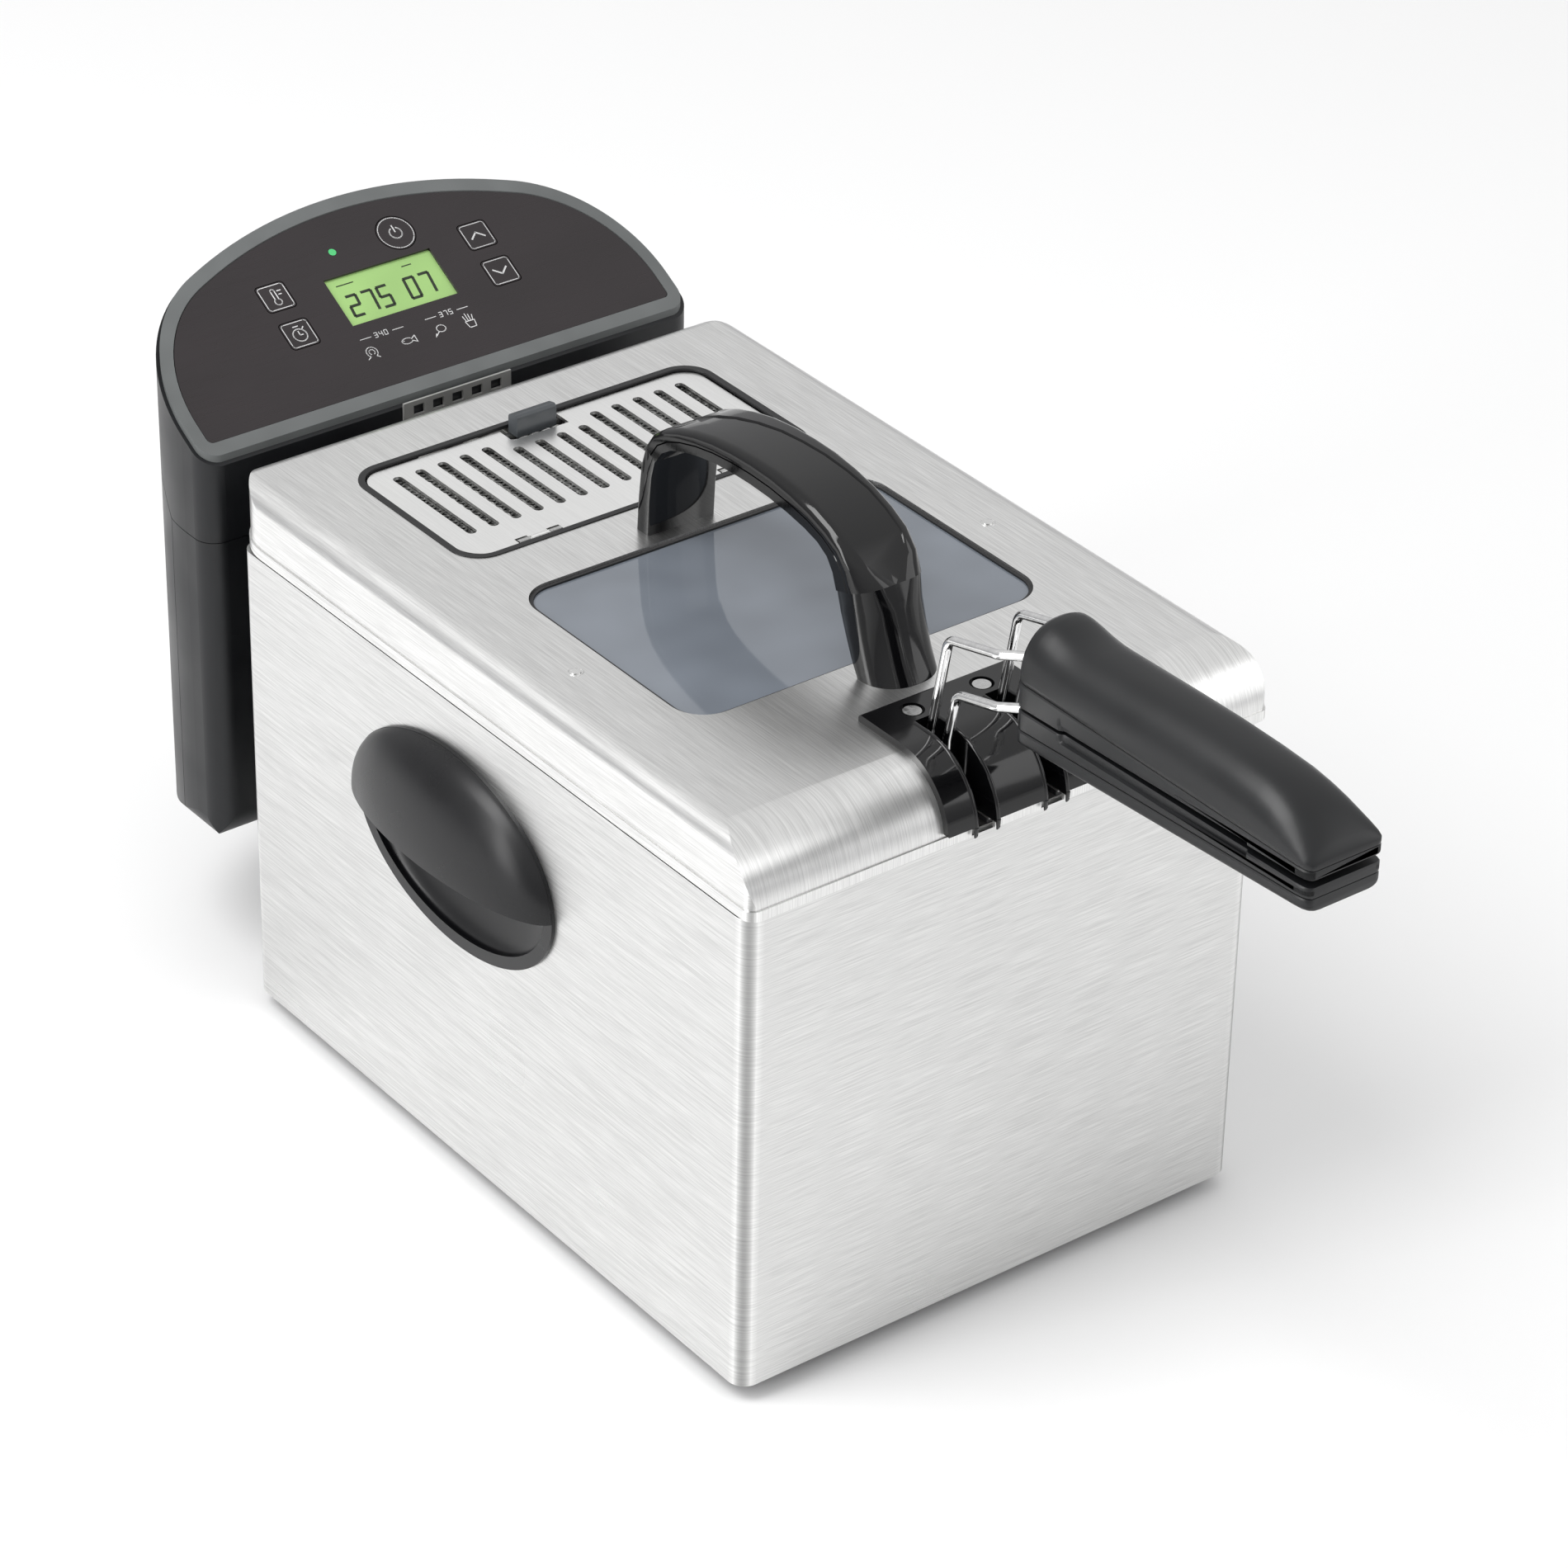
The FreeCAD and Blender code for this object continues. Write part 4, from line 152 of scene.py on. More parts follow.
def brushed(name, tone, across_top, rough=0.3, contrast=1.0):
    """Brushed stainless steel with painted reflection bands on its upright bends. across_top turns the
    grain of level faces to run along Y.
    """
    look = Look(name, (tone, tone, tone * 0.99), metallic=1.0, rough=rough)
    grain = look.pattern((38.0, 38.0, 1900.0), detail=3.0, roughness=0.7)
    coords = look.node("ShaderNodeTexCoord")
    split = look.node("ShaderNodeSeparateXYZ")
    look.link(coords.outputs["Normal"], split.inputs[0])
    if across_top:
        top = look.pattern((1900.0, 38.0, 38.0), detail=3.0, roughness=0.7)
        absolute = look.node("ShaderNodeMath", operation="ABSOLUTE")
        look.link(split.outputs["X"], absolute.inputs[0])
        facing = look.spread(absolute.outputs[0], 0.0, 1.0, 0.6, 0.75)
        grain = mix_values(look, facing, top, grain)
    # painted reflection on the upright bends: a painted dark streak between two painted highlights, set
    # by how far the normal turns between X and Y
    bend = look.node("ShaderNodeMath", operation="MULTIPLY")
    look.link(split.outputs["X"], bend.inputs[0])
    look.link(split.outputs["Y"], bend.inputs[1])
    size = look.node("ShaderNodeMath", operation="ABSOLUTE")
    look.link(bend.outputs[0], size.inputs[0])
    # colour ramp of the painted reflection bands: painted highlight near the bend's edges, painted dark
    # streak at its middle
    ramp = look.node("ShaderNodeValToRGB")
    painted_reflection_bands = ramp.color_ramp
    painted_reflection_bands.elements[0].position = 0.02
    painted_reflection_bands.elements[0].color = (1.0, 1.0, 1.0, 1.0)
    painted_reflection_bands.elements[1].position = 0.5
    painted_reflection_bands.elements[1].color = (0.5, 0.5, 0.5, 1.0)
    middle = painted_reflection_bands.elements.new(0.3)
    middle.color = (1.15, 1.15, 1.15, 1.0)
    look.link(size.outputs[0], ramp.inputs[0])
    shade = look.node("ShaderNodeMix", data_type="RGBA")
    shade.inputs[6].default_value = (*(c * (1 - 0.16 * contrast) for c in look.color), 1.0)
    shade.inputs[7].default_value = (*(min(1.0, c * (1 + 0.1 * contrast)) for c in look.color), 1.0)
    look.link(look.spread(grain, 0.0, 1.0, 0.34, 0.66), shade.inputs[0])
    # the painted reflection bands brighten and darken the grain's colour on the bends
    painted_band_tint = look.node("ShaderNodeMix", data_type="RGBA", blend_type="MULTIPLY")
    painted_band_tint.inputs[0].default_value = 1.0
    look.link(shade.outputs[2], painted_band_tint.inputs[6])
    look.link(ramp.outputs[0], painted_band_tint.inputs[7])
    look.link(painted_band_tint.outputs[2], look.shader.inputs["Base Color"])
    cloud = look.pattern((9.0, 9.0, 9.0), detail=1.0)
    look.vary_rough(cloud, rough - 0.03, rough + 0.05)
    look.bump(grain, 0.14 * contrast, 0.0002)
    look.set("Anisotropic", 0.4)
    return look.material


def mix_values(look, factor, low, high):
    mix = look.node("ShaderNodeMix", data_type="FLOAT")
    look.link(factor, mix.inputs[0])
    look.link(low, mix.inputs[2])
    look.link(high, mix.inputs[3])
    return mix.outputs[0]


def moulded(name, color, rough=0.42, grain=0.06, **inputs):
    """Moulded plastic with the fine spark texture of its tool."""
    look = Look(name, color, rough=rough, **inputs)
    spark = look.pattern((2200.0, 2200.0, 2200.0), detail=2.0)
    cloud = look.pattern((28.0, 28.0, 28.0), detail=2.0)
    look.vary_color(look.spread(cloud, 0.0, 1.0), tuple(c * 0.86 for c in color),
                    tuple(c * 1.14 for c in color))
    look.vary_rough(cloud, rough - 0.05, rough + 0.06)
    look.bump(spark, grain, 0.00012)
    return look.material


def glossy(name, color, rough=0.07, coat=0.6, metallic=0.0):
    """A polished surface: slight waviness and faint wipe marks in its roughness."""
    look = Look(name, color, rough=rough, metallic=metallic)
    look.set("Coat Weight", coat)
    look.set("Coat Roughness", 0.04)
    wave = look.pattern((30.0, 30.0, 30.0), detail=1.0)
    wipe = look.pattern((60.0, 900.0, 60.0), detail=3.0)
    look.vary_color(look.spread(wave, 0.0, 1.0), tuple(c * 0.9 for c in color),
                    tuple(min(1.0, c * 1.1) for c in color))
    look.vary_rough(wipe, rough * 0.75, rough * 1.5)
    look.bump(wave, 0.03, 0.0006)
    return look.material


def plated(name, tone, rough=0.08):
    """Bright plating with faint draw marks."""
    look = Look(name, (tone, tone, tone * 1.01), metallic=1.0, rough=rough)
    marks = look.pattern((500.0, 500.0, 90.0), detail=3.0)
    look.vary_color(look.spread(marks, 0.0, 1.0), (tone * 0.9,) * 3, (min(1.0, tone * 1.08),) * 3)
    look.vary_rough(marks, rough * 0.7, rough * 1.8)
    look.bump(marks, 0.04, 0.0002)
    return look.material


LOOKS = {
    "brushed_housing": brushed("brushed_housing", 0.72, False),
    "brushed_lid": brushed("brushed_lid", 0.82, True),
    "inner_steel": brushed("inner_steel", 0.55, True, rough=0.36),
    "base_sheet": moulded("base_sheet", (0.05, 0.05, 0.055), rough=0.5),
    "foot_rubber": moulded("foot_rubber", (0.02, 0.02, 0.02), rough=0.75, grain=0.2),
    "seal_rubber": moulded("seal_rubber", (0.012, 0.012, 0.013), rough=0.5, grain=0.12),
    "handle_black": moulded("handle_black", (0.005, 0.005, 0.006), rough=0.3, grain=0.05,
                            Specular_IOR_Level=0.4),
    "grip_black": moulded("grip_black", (0.008, 0.0085, 0.0095), rough=0.36, grain=0.09,
                          Specular_IOR_Level=0.42),
    "tower_black": moulded("tower_black", (0.007, 0.0075, 0.009), rough=0.4, grain=0.08,
                           Specular_IOR_Level=0.4),
    "gloss_black": glossy("gloss_black", (0.003, 0.003, 0.0035), coat=0.0),
    "bezel_grey": moulded("bezel_grey", (0.125, 0.132, 0.132), rough=0.45, grain=0.05,
                          Specular_IOR_Level=0.3),
    "panel_film": glossy("panel_film", (0.016, 0.0115, 0.013), rough=0.3, coat=0.0),
    "display_glass": glossy("display_glass", (0.3, 0.5, 0.16), rough=0.15, coat=0.4),
    "lamp_green": glossy("lamp_green", (0.06, 0.5, 0.16), rough=0.15, coat=0.5),
    "key_grey": moulded("key_grey", (0.06, 0.066, 0.072), rough=0.35, grain=0.05),
    "key_cream": moulded("key_cream", (0.016, 0.0115, 0.013), rough=0.32, grain=0.03),
    "wire_chrome": plated("wire_chrome", 0.78, rough=0.07),
    "basket_wire": plated("basket_wire", 0.66, rough=0.18),
    "vent_plate": brushed("vent_plate", 0.97, True, rough=0.3, contrast=0.3),
    "bracket_chrome": moulded("bracket_chrome", (0.62, 0.62, 0.6), rough=0.22, grain=0.04, Metallic=0.7),
    "element_tube": moulded("element_tube", (0.09, 0.085, 0.08), rough=0.45, Metallic=0.8),
    "window_glass": glossy("window_glass", (0.17, 0.19, 0.22), rough=0.05, coat=0.3),
    "screw_steel": plated("screw_steel", 0.6, rough=0.22),
    "mesh_steel": moulded("mesh_steel", (0.62, 0.62, 0.61), rough=0.25, grain=0.0, Metallic=0.75),
    "charcoal_felt": moulded("charcoal_felt", (0.01, 0.01, 0.01), rough=0.9, grain=0.6),
    "board_green": moulded("board_green", (0.02, 0.09, 0.04), rough=0.35),
    "switch_grey": moulded("switch_grey", (0.1, 0.1, 0.1), rough=0.45),
    "pin_brass": glossy("pin_brass", (0.6, 0.42, 0.14), rough=0.2, coat=0.0, metallic=1.0),
    "button_red": moulded("button_red", (0.3, 0.02, 0.015), rough=0.4),
}
INK = moulded("panel_ink", (0.6, 0.6, 0.6), rough=0.45, grain=0.03)
DIGIT = moulded("display_ink", (0.012, 0.02, 0.008), rough=0.4, grain=0.03)

for part in frame["record"]["subparts"]:
    mesh = nodes[part["node"]].data
    mesh.materials.clear()
    mesh.materials.append(LOOKS[part["material_slot"]])
for key in ("key_up", "key_down", "key_set_temp", "key_timer"):
    nodes[key].data.materials[0] = LOOKS["key_cream"]


def smooth(obj, angle=35):
    for polygon in obj.data.polygons:
        polygon.use_smooth = True
    obj.data.set_sharp_from_angle(angle=math.radians(angle))


# ------------------------------------------------------------------ making pieces


def piece(name, verts, faces, slot, body, replaces=(), material=None, angle=35):
    """A new mesh piece that rides on a CAD body and may stand for CAD nodes."""
    mesh = bpy.data.meshes.new(name)
    mesh.from_pydata([tuple(v) for v in verts], [], faces)
    cleaner = bmesh.new()
    cleaner.from_mesh(mesh)
    bmesh.ops.recalc_face_normals(cleaner, faces=cleaner.faces)
    cleaner.to_mesh(mesh)
    cleaner.free()
    obj = bpy.data.objects.new(name, mesh)
    bpy.context.scene.collection.objects.link(obj)
    mesh.materials.append(material or LOOKS[slot])
    smooth(obj, angle)
    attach(obj, body)
    if replaces:
        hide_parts(*replaces)
    return obj


def loft(rings):
    """Closed rings of equal length joined into a capped skin."""
    count = len(rings[0])
    verts = [v for ring in rings for v in ring]
    faces = []
    for r in range(len(rings) - 1):
        for i in range(count):
            j = (i + 1) % count
            a, b = r * count, (r + 1) * count
            faces.append((a + i, a + j, b + j, b + i))
    faces.append(tuple(reversed(range(count))))
    last = (len(rings) - 1) * count
    faces.append(tuple(last + i for i in range(count)))
    return verts, faces


def tube(points, radius, sides=8, closed=False):
    """A round wire along a polyline."""
    points = [Vector(p) for p in points]
    count = len(points)
    rings = []
    side = None
    for i, point in enumerate(points):
        if closed:
            along = points[(i + 1) % count] - points[i - 1]
        else:
            along = points[min(i + 1, count - 1)] - points[max(i - 1, 0)]
        along.normalize()
        if side is None:
            guide = Vector((0, 0, 1)) if abs(along.z) < 0.9 else Vector((1, 0, 0))
            side = along.cross(guide).normalized()
        side = (side - along * side.dot(along)).normalized()
        other = along.cross(side)
        rings.append([point + side * (radius * math.cos(math.tau * k / sides))
                      + other * (radius * math.sin(math.tau * k / sides)) for k in range(sides)])
    if not closed:
        return loft(rings)
    verts = [v for ring in rings for v in ring]
    faces = []
    for r in range(count):
        a, b = r * sides, ((r + 1) % count) * sides
        for k in range(sides):
            m = (k + 1) % sides
            faces.append((a + k, a + m, b + m, b + k))
    return verts, faces


def merge(parts):
    verts, faces = [], []
    for some_verts, some_faces in parts:
        shift = len(verts)
        verts += list(some_verts)
        faces += [tuple(i + shift for i in face) for face in some_faces]
    return verts, faces


def between(table, x):
    """Straight-line interpolation in a list of (x, value) pairs."""
    if x <= table[0][0]:
        return table[0][1]
    for (x0, v0), (x1, v1) in zip(table, table[1:]):
        if x <= x1:
            return v0 + (v1 - v0) * (x - x0) / (x1 - x0)
    return table[-1][1]


# ------------------------------------------------------------------ basket grip

REAR_Y, TIP_Y = -17.5, -165.0
STATIONS = [-17.5, -17.9, -19.0, -21.0, -24.0, -28.0, -33.0, -39.0, -45.0, -60.0, -80.0, -100.0,
            -120.0, -134.0, -142.0, -149.0, -154.0, -158.5, -162.0, -164.0, -164.8, -165.0]
CREST = [(-165.0, 270.5), (-164.0, 272.6), (-162.0, 274.6), (-158.5, 277.4), (-154.0, 280.2),
         (-149.0, 282.8), (-142.0, 285.2), (-134.0, 286.8), (-120.0, 287.8), (-100.0, 288.2),
         (-80.0, 287.9), (-60.0, 287.3), (-45.0, 286.8), (-39.0, 286.8), (-33.0, 287.7),
         (-28.0, 289.0), (-24.0, 289.8), (-21.0, 289.8), (-19.0, 288.8), (-17.9, 287.0),
         (-17.5, 285.0)]
HALF = [(-165.0, 13.4), (-164.8, 14.6), (-164.0, 15.6), (-162.0, 16.3), (-158.5, 16.5),
        (-21.0, 16.5), (-19.0, 16.1), (-17.9, 15.2), (-17.5, 14.0)]


COVER_LOW, BASE_HIGH = 268.15, 267.85
COVER_SQUARENESS = 2.3
RECESS_REAR, RECESS_TIP = -40.0, -135.5
RECESS_DEPTH, RECESS_RUN = 1.3, 1.5
RECESS_STATIONS = [-40.0, -40.8, -41.6, -133.9, -134.7, -135.5]
RECESS_REACH = 2.4


def along_grip(y, rear, tip):
    """A level that runs straight from its rear value to its tip value."""
    return rear + (tip - rear) * (y - REAR_Y) / (TIP_Y - REAR_Y)


def gap_line(y):
    return along_grip(y, 258.4, 264.6)


def grip_cover():
    """The upper cover, domed across and drawn in at both ends."""
    rings = []
    for y in STATIONS:
        half = between(HALF, y)
        crest = between(CREST, y)
        shoulder = min(COVER_LOW + 2.0, crest - 1.5)
        ring = [at(-half + 0.4, y, COVER_LOW), at(-half, y, COVER_LOW + 0.4)]
        for k in range(25):
            t = math.pi * (1 - k / 24)
            c, s = math.cos(t), math.sin(t)
            x = half * math.copysign(abs(c) ** (2 / COVER_SQUARENESS), c)
            rise = abs(s) ** (2 / COVER_SQUARENESS)
            ring.append(at(x, y, shoulder + (crest - shoulder) * rise))
        ring += [at(half, y, COVER_LOW + 0.4), at(half - 0.4, y, COVER_LOW)]
        rings.append(ring)
    verts, faces = loft(rings)
    piece("basket_grip_cover", verts, faces, "grip_black", "basket", ["grip_upper_cover"],
          angle=50)


def recess(y):
    """How far the grip's sides are drawn in beside the gap, with rounded ends."""
    if y > RECESS_REAR or y < RECESS_TIP:
        return 0.0
    run = min(RECESS_REAR - y, y - RECESS_TIP)
    return RECESS_DEPTH * min(1.0, run / RECESS_RUN)


def grip_layer(name, low_of, high_of, body, node_name, recess_low=False, recess_high=False,
               low_round=0.5):
    """One flat layer of the grip, with soft edges and a recess beside the gap."""
    rings = []
    for y in sorted(set(STATIONS + RECESS_STATIONS), reverse=True):
        half = between(HALF, y)
        low, high = low_of(y), high_of(y)
        inset_low = recess(y) if recess_low else 0.0
        inset_high = recess(y) if recess_high else 0.0
        right = []
        if low_round > 1:
            for k in range(7):
                t = math.pi / 2 * k / 6
                right.append((half - low_round + low_round * math.sin(t),
                              low + low_round * 0.7 * (1 - math.cos(t))))
        else:
            right += [(half - low_round - inset_low, low), (half - inset_low, low + low_round)]
            right += [(half - inset_low, low + RECESS_REACH), (half, low + RECESS_REACH + 0.5)]
        right += [(half, high - RECESS_REACH - 0.5), (half - inset_high, high - RECESS_REACH)]
        right += [(half - inset_high, high - 0.5), (half - 0.5 - inset_high, high)]
        left = [(-x, z) for x, z in reversed(right)]
        rings.append([at(x, y, z) for x, z in right + left])
    verts, faces = loft(rings)
    piece(name, verts, faces, "grip_black", body, [node_name], angle=40)


def grips():
    grip_cover()
    grip_layer("basket_grip_base", gap_line, lambda y: BASE_HIGH, "basket", "grip_upper_base",
               recess_low=True)
    grip_layer("squeeze_grip_inner", lambda y: along_grip(y, 249.8, 257.6),
               lambda y: gap_line(y) - along_grip(y, 1.0, 2.9), "squeeze_lever",
               "grip_lower_inner", recess_high=True)
    grip_layer("squeeze_grip_outer", lambda y: along_grip(y, 243.5, 252.5),
               lambda y: along_grip(y, 249.5, 257.3), "squeeze_lever", "grip_lower_outer",
               low_round=3.0)


# ------------------------------------------------------------------ lid handle

OUTER = [(203.0, 226.0), (202.2, 240.0), (200.6, 254.0), (198.0, 262.5), (193.5, 269.0),
         (187.0, 273.6), (179.0, 277.2), (169.0, 280.4), (158.0, 282.8), (146.0, 284.3),
         (134.0, 284.9), (122.0, 284.7), (110.0, 283.3), (99.0, 281.0), (89.0, 277.6),
         (80.5, 273.2), (73.5, 267.4), (68.5, 260.0), (65.0, 251.5), (62.0, 242.5),
         (58.5, 233.5), (54.5, 226.0)]
INNER = [(195.0, 226.0), (194.2, 240.0), (193.0, 251.0), (191.0, 258.5), (187.0, 264.0),
         (181.5, 267.6), (174.0, 270.4), (165.0, 272.6), (155.0, 274.2), (144.5, 275.0),
         (134.0, 275.2), (123.0, 274.8), (112.0, 273.6), (102.0, 271.9), (94.5, 269.8),
         (89.0, 266.6), (85.5, 261.8), (83.2, 255.5), (81.0, 248.5), (78.0, 241.0),
         (74.5, 233.0), (70.5, 226.0)]
COVER_SPAN = (3, 17)
SEAM_SHARE = 0.42
SEAM_GAP_SHARE = 0.035
STRAP_HALF = 15.25
CORNER_STEPS = 8
# (station, width, depth) of the outer corners' rounding
CORNERS = [(0, 1.6, 1.6), (3, 2.5, 2.2), (5, 3.0, 2.6), (8, 3.4, 3.0), (15, 4.0, 4.0),
           (16, 6.0, 5.5), (18, 13.5, 11.0), (21, 14.0, 13.0)]
FACET_HALF_WIDTHS = [(4.0, 0.0), (6.0, 4.0), (9.0, 8.0), (13.0, 10.8), (15.0, 10.8), (16.0, 8.5),
                     (16.6, 0.0)]
FACET_SUNK = 0.6


def corner_sizes(index):
    """Width and depth of the outer corners' rounding at each station."""
    return (between([(i, width) for i, width, _ in CORNERS], index),
            between([(i, depth) for i, _, depth in CORNERS], index))


def strap_ring(index, start, end):
    """The strap's section at a station, from start to end of its depth."""
    outer, inner = Vector(OUTER[index]), Vector(INNER[index])
    depth = (outer - inner).length
    way = (outer - inner) / depth
    half = STRAP_HALF
    low, high = depth * start, depth * end
    if end < 0.99:
        # square edges, with points repeated so that every ring of the loft has as many
        points = [(half, low), (half, low + 0.2)]
        points += [(half, high - 0.3)] * (CORNER_STEPS + 1) + [(half - 0.3, high)] * 2
    else:
        rx, rv = corner_sizes(index)
        rv = min(rv, (high - low) * 0.9)
        low_edge = [(half - 0.8, low), (half, low + 0.8)]
        points = low_edge if start < 0.01 else [(half, low), (half, low + 0.2)]
        for k in range(CORNER_STEPS + 1):
            t = math.pi / 2 * k / CORNER_STEPS
            points.append((half - rx + rx * math.cos(t), high - rv + rv * math.sin(t)))
        facet = facet_width(index)
        facet = min(facet, half - rx - 0.6) if facet > 0 else 0.0
        sunk = FACET_SUNK if facet > 0.5 else 0.0
        points += [(max(facet, 0.3) + 0.3, high), (max(facet, 0.15), high - sunk)]
    points += [(-x, v) for x, v in reversed(points)]
    return [at(x, inner.x + way.x * v, inner.y + way.y * v) for x, v in points]


def facet_width(index):
    """Half the width of the shallow leaf-shaped facet along the handle's top."""
    return between(FACET_HALF_WIDTHS, index)


def lid_handle():
    """The strap's lower layer runs from foot to foot; a cover lies on it between the shoulders."""
    first, last = COVER_SPAN
    base = []
    for i in range(len(OUTER)):
        if i == first:
            base.append(strap_ring(i, 0.0, 1.0))
        share = SEAM_SHARE if first <= i <= last else 1.0
        base.append(strap_ring(i, 0.0, share))
        if i == last:
            base.append(strap_ring(i, 0.0, 1.0))
    verts, faces = loft(base)
    piece("lid_handle_strap", verts, faces, "gloss_black", "lid", ["lid_handle_base"], angle=55)
    cover = [strap_ring(i, SEAM_SHARE + SEAM_GAP_SHARE, 1.0) for i in range(first, last + 1)]
    verts, faces = loft(cover)
    piece("lid_handle_top", verts, faces, "gloss_black", "lid", ["lid_handle_cover"], angle=55)


# ------------------------------------------------------------------ lid details


RIVET_RADIUS = 0.0019
SPOT_RING_RADIUS, SPOT_RING_WIRE = 0.0027, 0.00018


def spot_rings():
    """Faint pressed rings round the two spot welds of the lid."""
    low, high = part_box("lid_rivets")
    middle = (low.y + high.y) / 2
    for name, x in (("left", low.x + RIVET_RADIUS), ("right", high.x - RIVET_RADIUS)):
        turns = [math.tau * k / 32 for k in range(32)]
        ring = [(x + SPOT_RING_RADIUS * math.cos(t), middle + SPOT_RING_RADIUS * math.sin(t),
                 low.z) for t in turns]
        verts, faces = tube(ring, SPOT_RING_WIRE, sides=8, closed=True)
        piece("spot_ring_" + name, verts, faces, "brushed_lid", "lid")


def saddle_ribs():
    """Slim raised ribs beside each wire slot, following the saddle over the lid's edge."""
    low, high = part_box("front_saddle")
    slot_x, slot_half, rib = 15.5, 4.0, 0.9
    sink, sink_on_bend = 0.35, 0.2
    radius = 28.0
    front = low.y * 1000 - FRONT
    top = high.z * 1000 - FOOT
    start, foot = 31.0, low.z * 1000 - FOOT + 1.5
    path = [(start, top), (front + radius + 4, top)]
    for k in range(13):
        t = math.radians(90 + 90 * k / 12)
        path.append((front + radius + radius * math.cos(t), top - radius + radius * math.sin(t)))
    path.append((front, foot))
    for side in (-1, 1):
        for edge in (-1, 1):
            x = side * slot_x + edge * (slot_half + rib)
            line = [at(x, y, z - sink) for y, z in path[:2]]
            line += [at(x, y + sink, z - sink_on_bend) for y, z in path[2:]]
            verts, faces = tube(line, rib / 1000, sides=10)
            name = "saddle_rib_%s_%s" % ("right" if side > 0 else "left",
                                         "outer" if edge == side else "inner")
            piece(name, verts, faces, "gloss_black", "lid", angle=60)


# ------------------------------------------------------------------ filter mesh and basket


def woven_mesh():
    """Fine wire cloth under the vent's slots."""
    low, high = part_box("mesh_filter")
    pitch, radius, sway = 0.0026, 0.00045, 0.0004
    z = (low.z + high.z) / 2
    parts = []
    nx = int((high.x - low.x) / pitch)
    ny = int((high.y - low.y) / pitch)
    for i in range(nx + 1):
        x = low.x + i * pitch
        line = [(x, low.y + j * pitch, z + sway * (1 if (i + j) % 2 else -1))
                for j in range(ny + 1)]
        parts.append(tube(line, radius, sides=5))
    for j in range(ny + 1):
        y = low.y + j * pitch
        line = [(low.x + i * pitch, y, z - sway * (1 if (i + j) % 2 else -1))
                for i in range(nx + 1)]
        parts.append(tube(line, radius, sides=5))
    verts, faces = merge(parts)
    piece("vent_wire_cloth", verts, faces, "mesh_steel", "lid", ["mesh_filter"], angle=60)


def rounded_loop(half, front, rear, radius, step=6.0):
    """A rounded rectangle as evenly spaced points."""
    corners = [(half - radius, front + radius, -90), (half - radius, rear - radius, 0),
               (-half + radius, rear - radius, 90), (-half + radius, front + radius, 180)]
    outline = []
    for cx, cy, start in corners:
        for k in range(9):
            t = math.radians(start + 90 * k / 8)
            outline.append(Vector((cx + radius * math.cos(t), cy + radius * math.sin(t))))
    total = sum((outline[i] - outline[i - 1]).length for i in range(len(outline)))
    count = round(total / step)
    points = []
    for n in range(count):
        reach = total * n / count
        i = 0
        while reach > (outline[(i + 1) % len(outline)] - outline[i]).length:
            reach -= (outline[(i + 1) % len(outline)] - outline[i]).length
            i += 1
        a, b = outline[i], outline[(i + 1) % len(outline)]
        points.append(a + (b - a).normalized() * reach)
    return points


BASKET_CORNER = 25.3
BASKET_WIRE = 0.7
BASKET_RINGS = 15
FLOOR_GRID_PITCH = 6.5
FLOOR_GRID_MARGIN = 5.0


def wire_basket():
    """Welded wire: upright wires that turn under the floor, rings and a floor grid."""
    low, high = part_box("basket_mesh")
    half = high.x * 1000 - BASKET_WIRE
    front = low.y * 1000 - FRONT + BASKET_WIRE
    rear = high.y * 1000 - FRONT - BASKET_WIRE
    floor = low.z * 1000 - FOOT + BASKET_WIRE
    rim = high.z * 1000 - FOOT
    wire, thick = 0.0007, 0.0011
    middle_y = (front + rear) / 2
    middle = Vector((0.0, middle_y))
    parts = []
    ring_points = rounded_loop(half, front, rear, BASKET_CORNER)
    for p in ring_points:
        inward = (middle - p).normalized() * 6
        line = [at(p.x, p.y, rim), at(p.x, p.y, floor + 6), at(p.x + inward.x * 0.3,
                p.y + inward.y * 0.3, floor + 2), at(p.x + inward.x, p.y + inward.y, floor)]
        parts.append(tube(line, wire, sides=6))
    for n in range(BASKET_RINGS):
        z = floor + 6 + (rim - floor - 8) * n / (BASKET_RINGS - 1)
        loop = [at(p.x * 0.992, p.y, z) for p in ring_points]
        parts.append(tube(loop, wire, sides=6, closed=True))
    heavy = [at(p.x * 0.97, (p.y - middle_y) * 0.978 + middle_y, floor + 0.4)
             for p in ring_points]
    parts.append(tube(heavy, thick, sides=8, closed=True))
    inner = half - FLOOR_GRID_MARGIN
    start, stop = front + FLOOR_GRID_MARGIN, rear - FLOOR_GRID_MARGIN
    count = int(2 * inner / FLOOR_GRID_PITCH)
    for n in range(count + 1):
        x = -inner + 2 * inner * n / count
        parts.append(tube([at(x, start, floor), at(x, stop, floor)], wire, sides=6))
    count = int((stop - start) / FLOOR_GRID_PITCH)
    for n in range(count + 1):
        y = start + (stop - start) * n / count
        parts.append(tube([at(-inner, y, floor + 1.3), at(inner, y, floor + 1.3)], wire, sides=6))
    verts, faces = merge(parts)
    piece("basket_wires", verts, faces, "basket_wire", "basket", ["basket_mesh"], angle=60)


# ------------------------------------------------------------------ marks on the panel


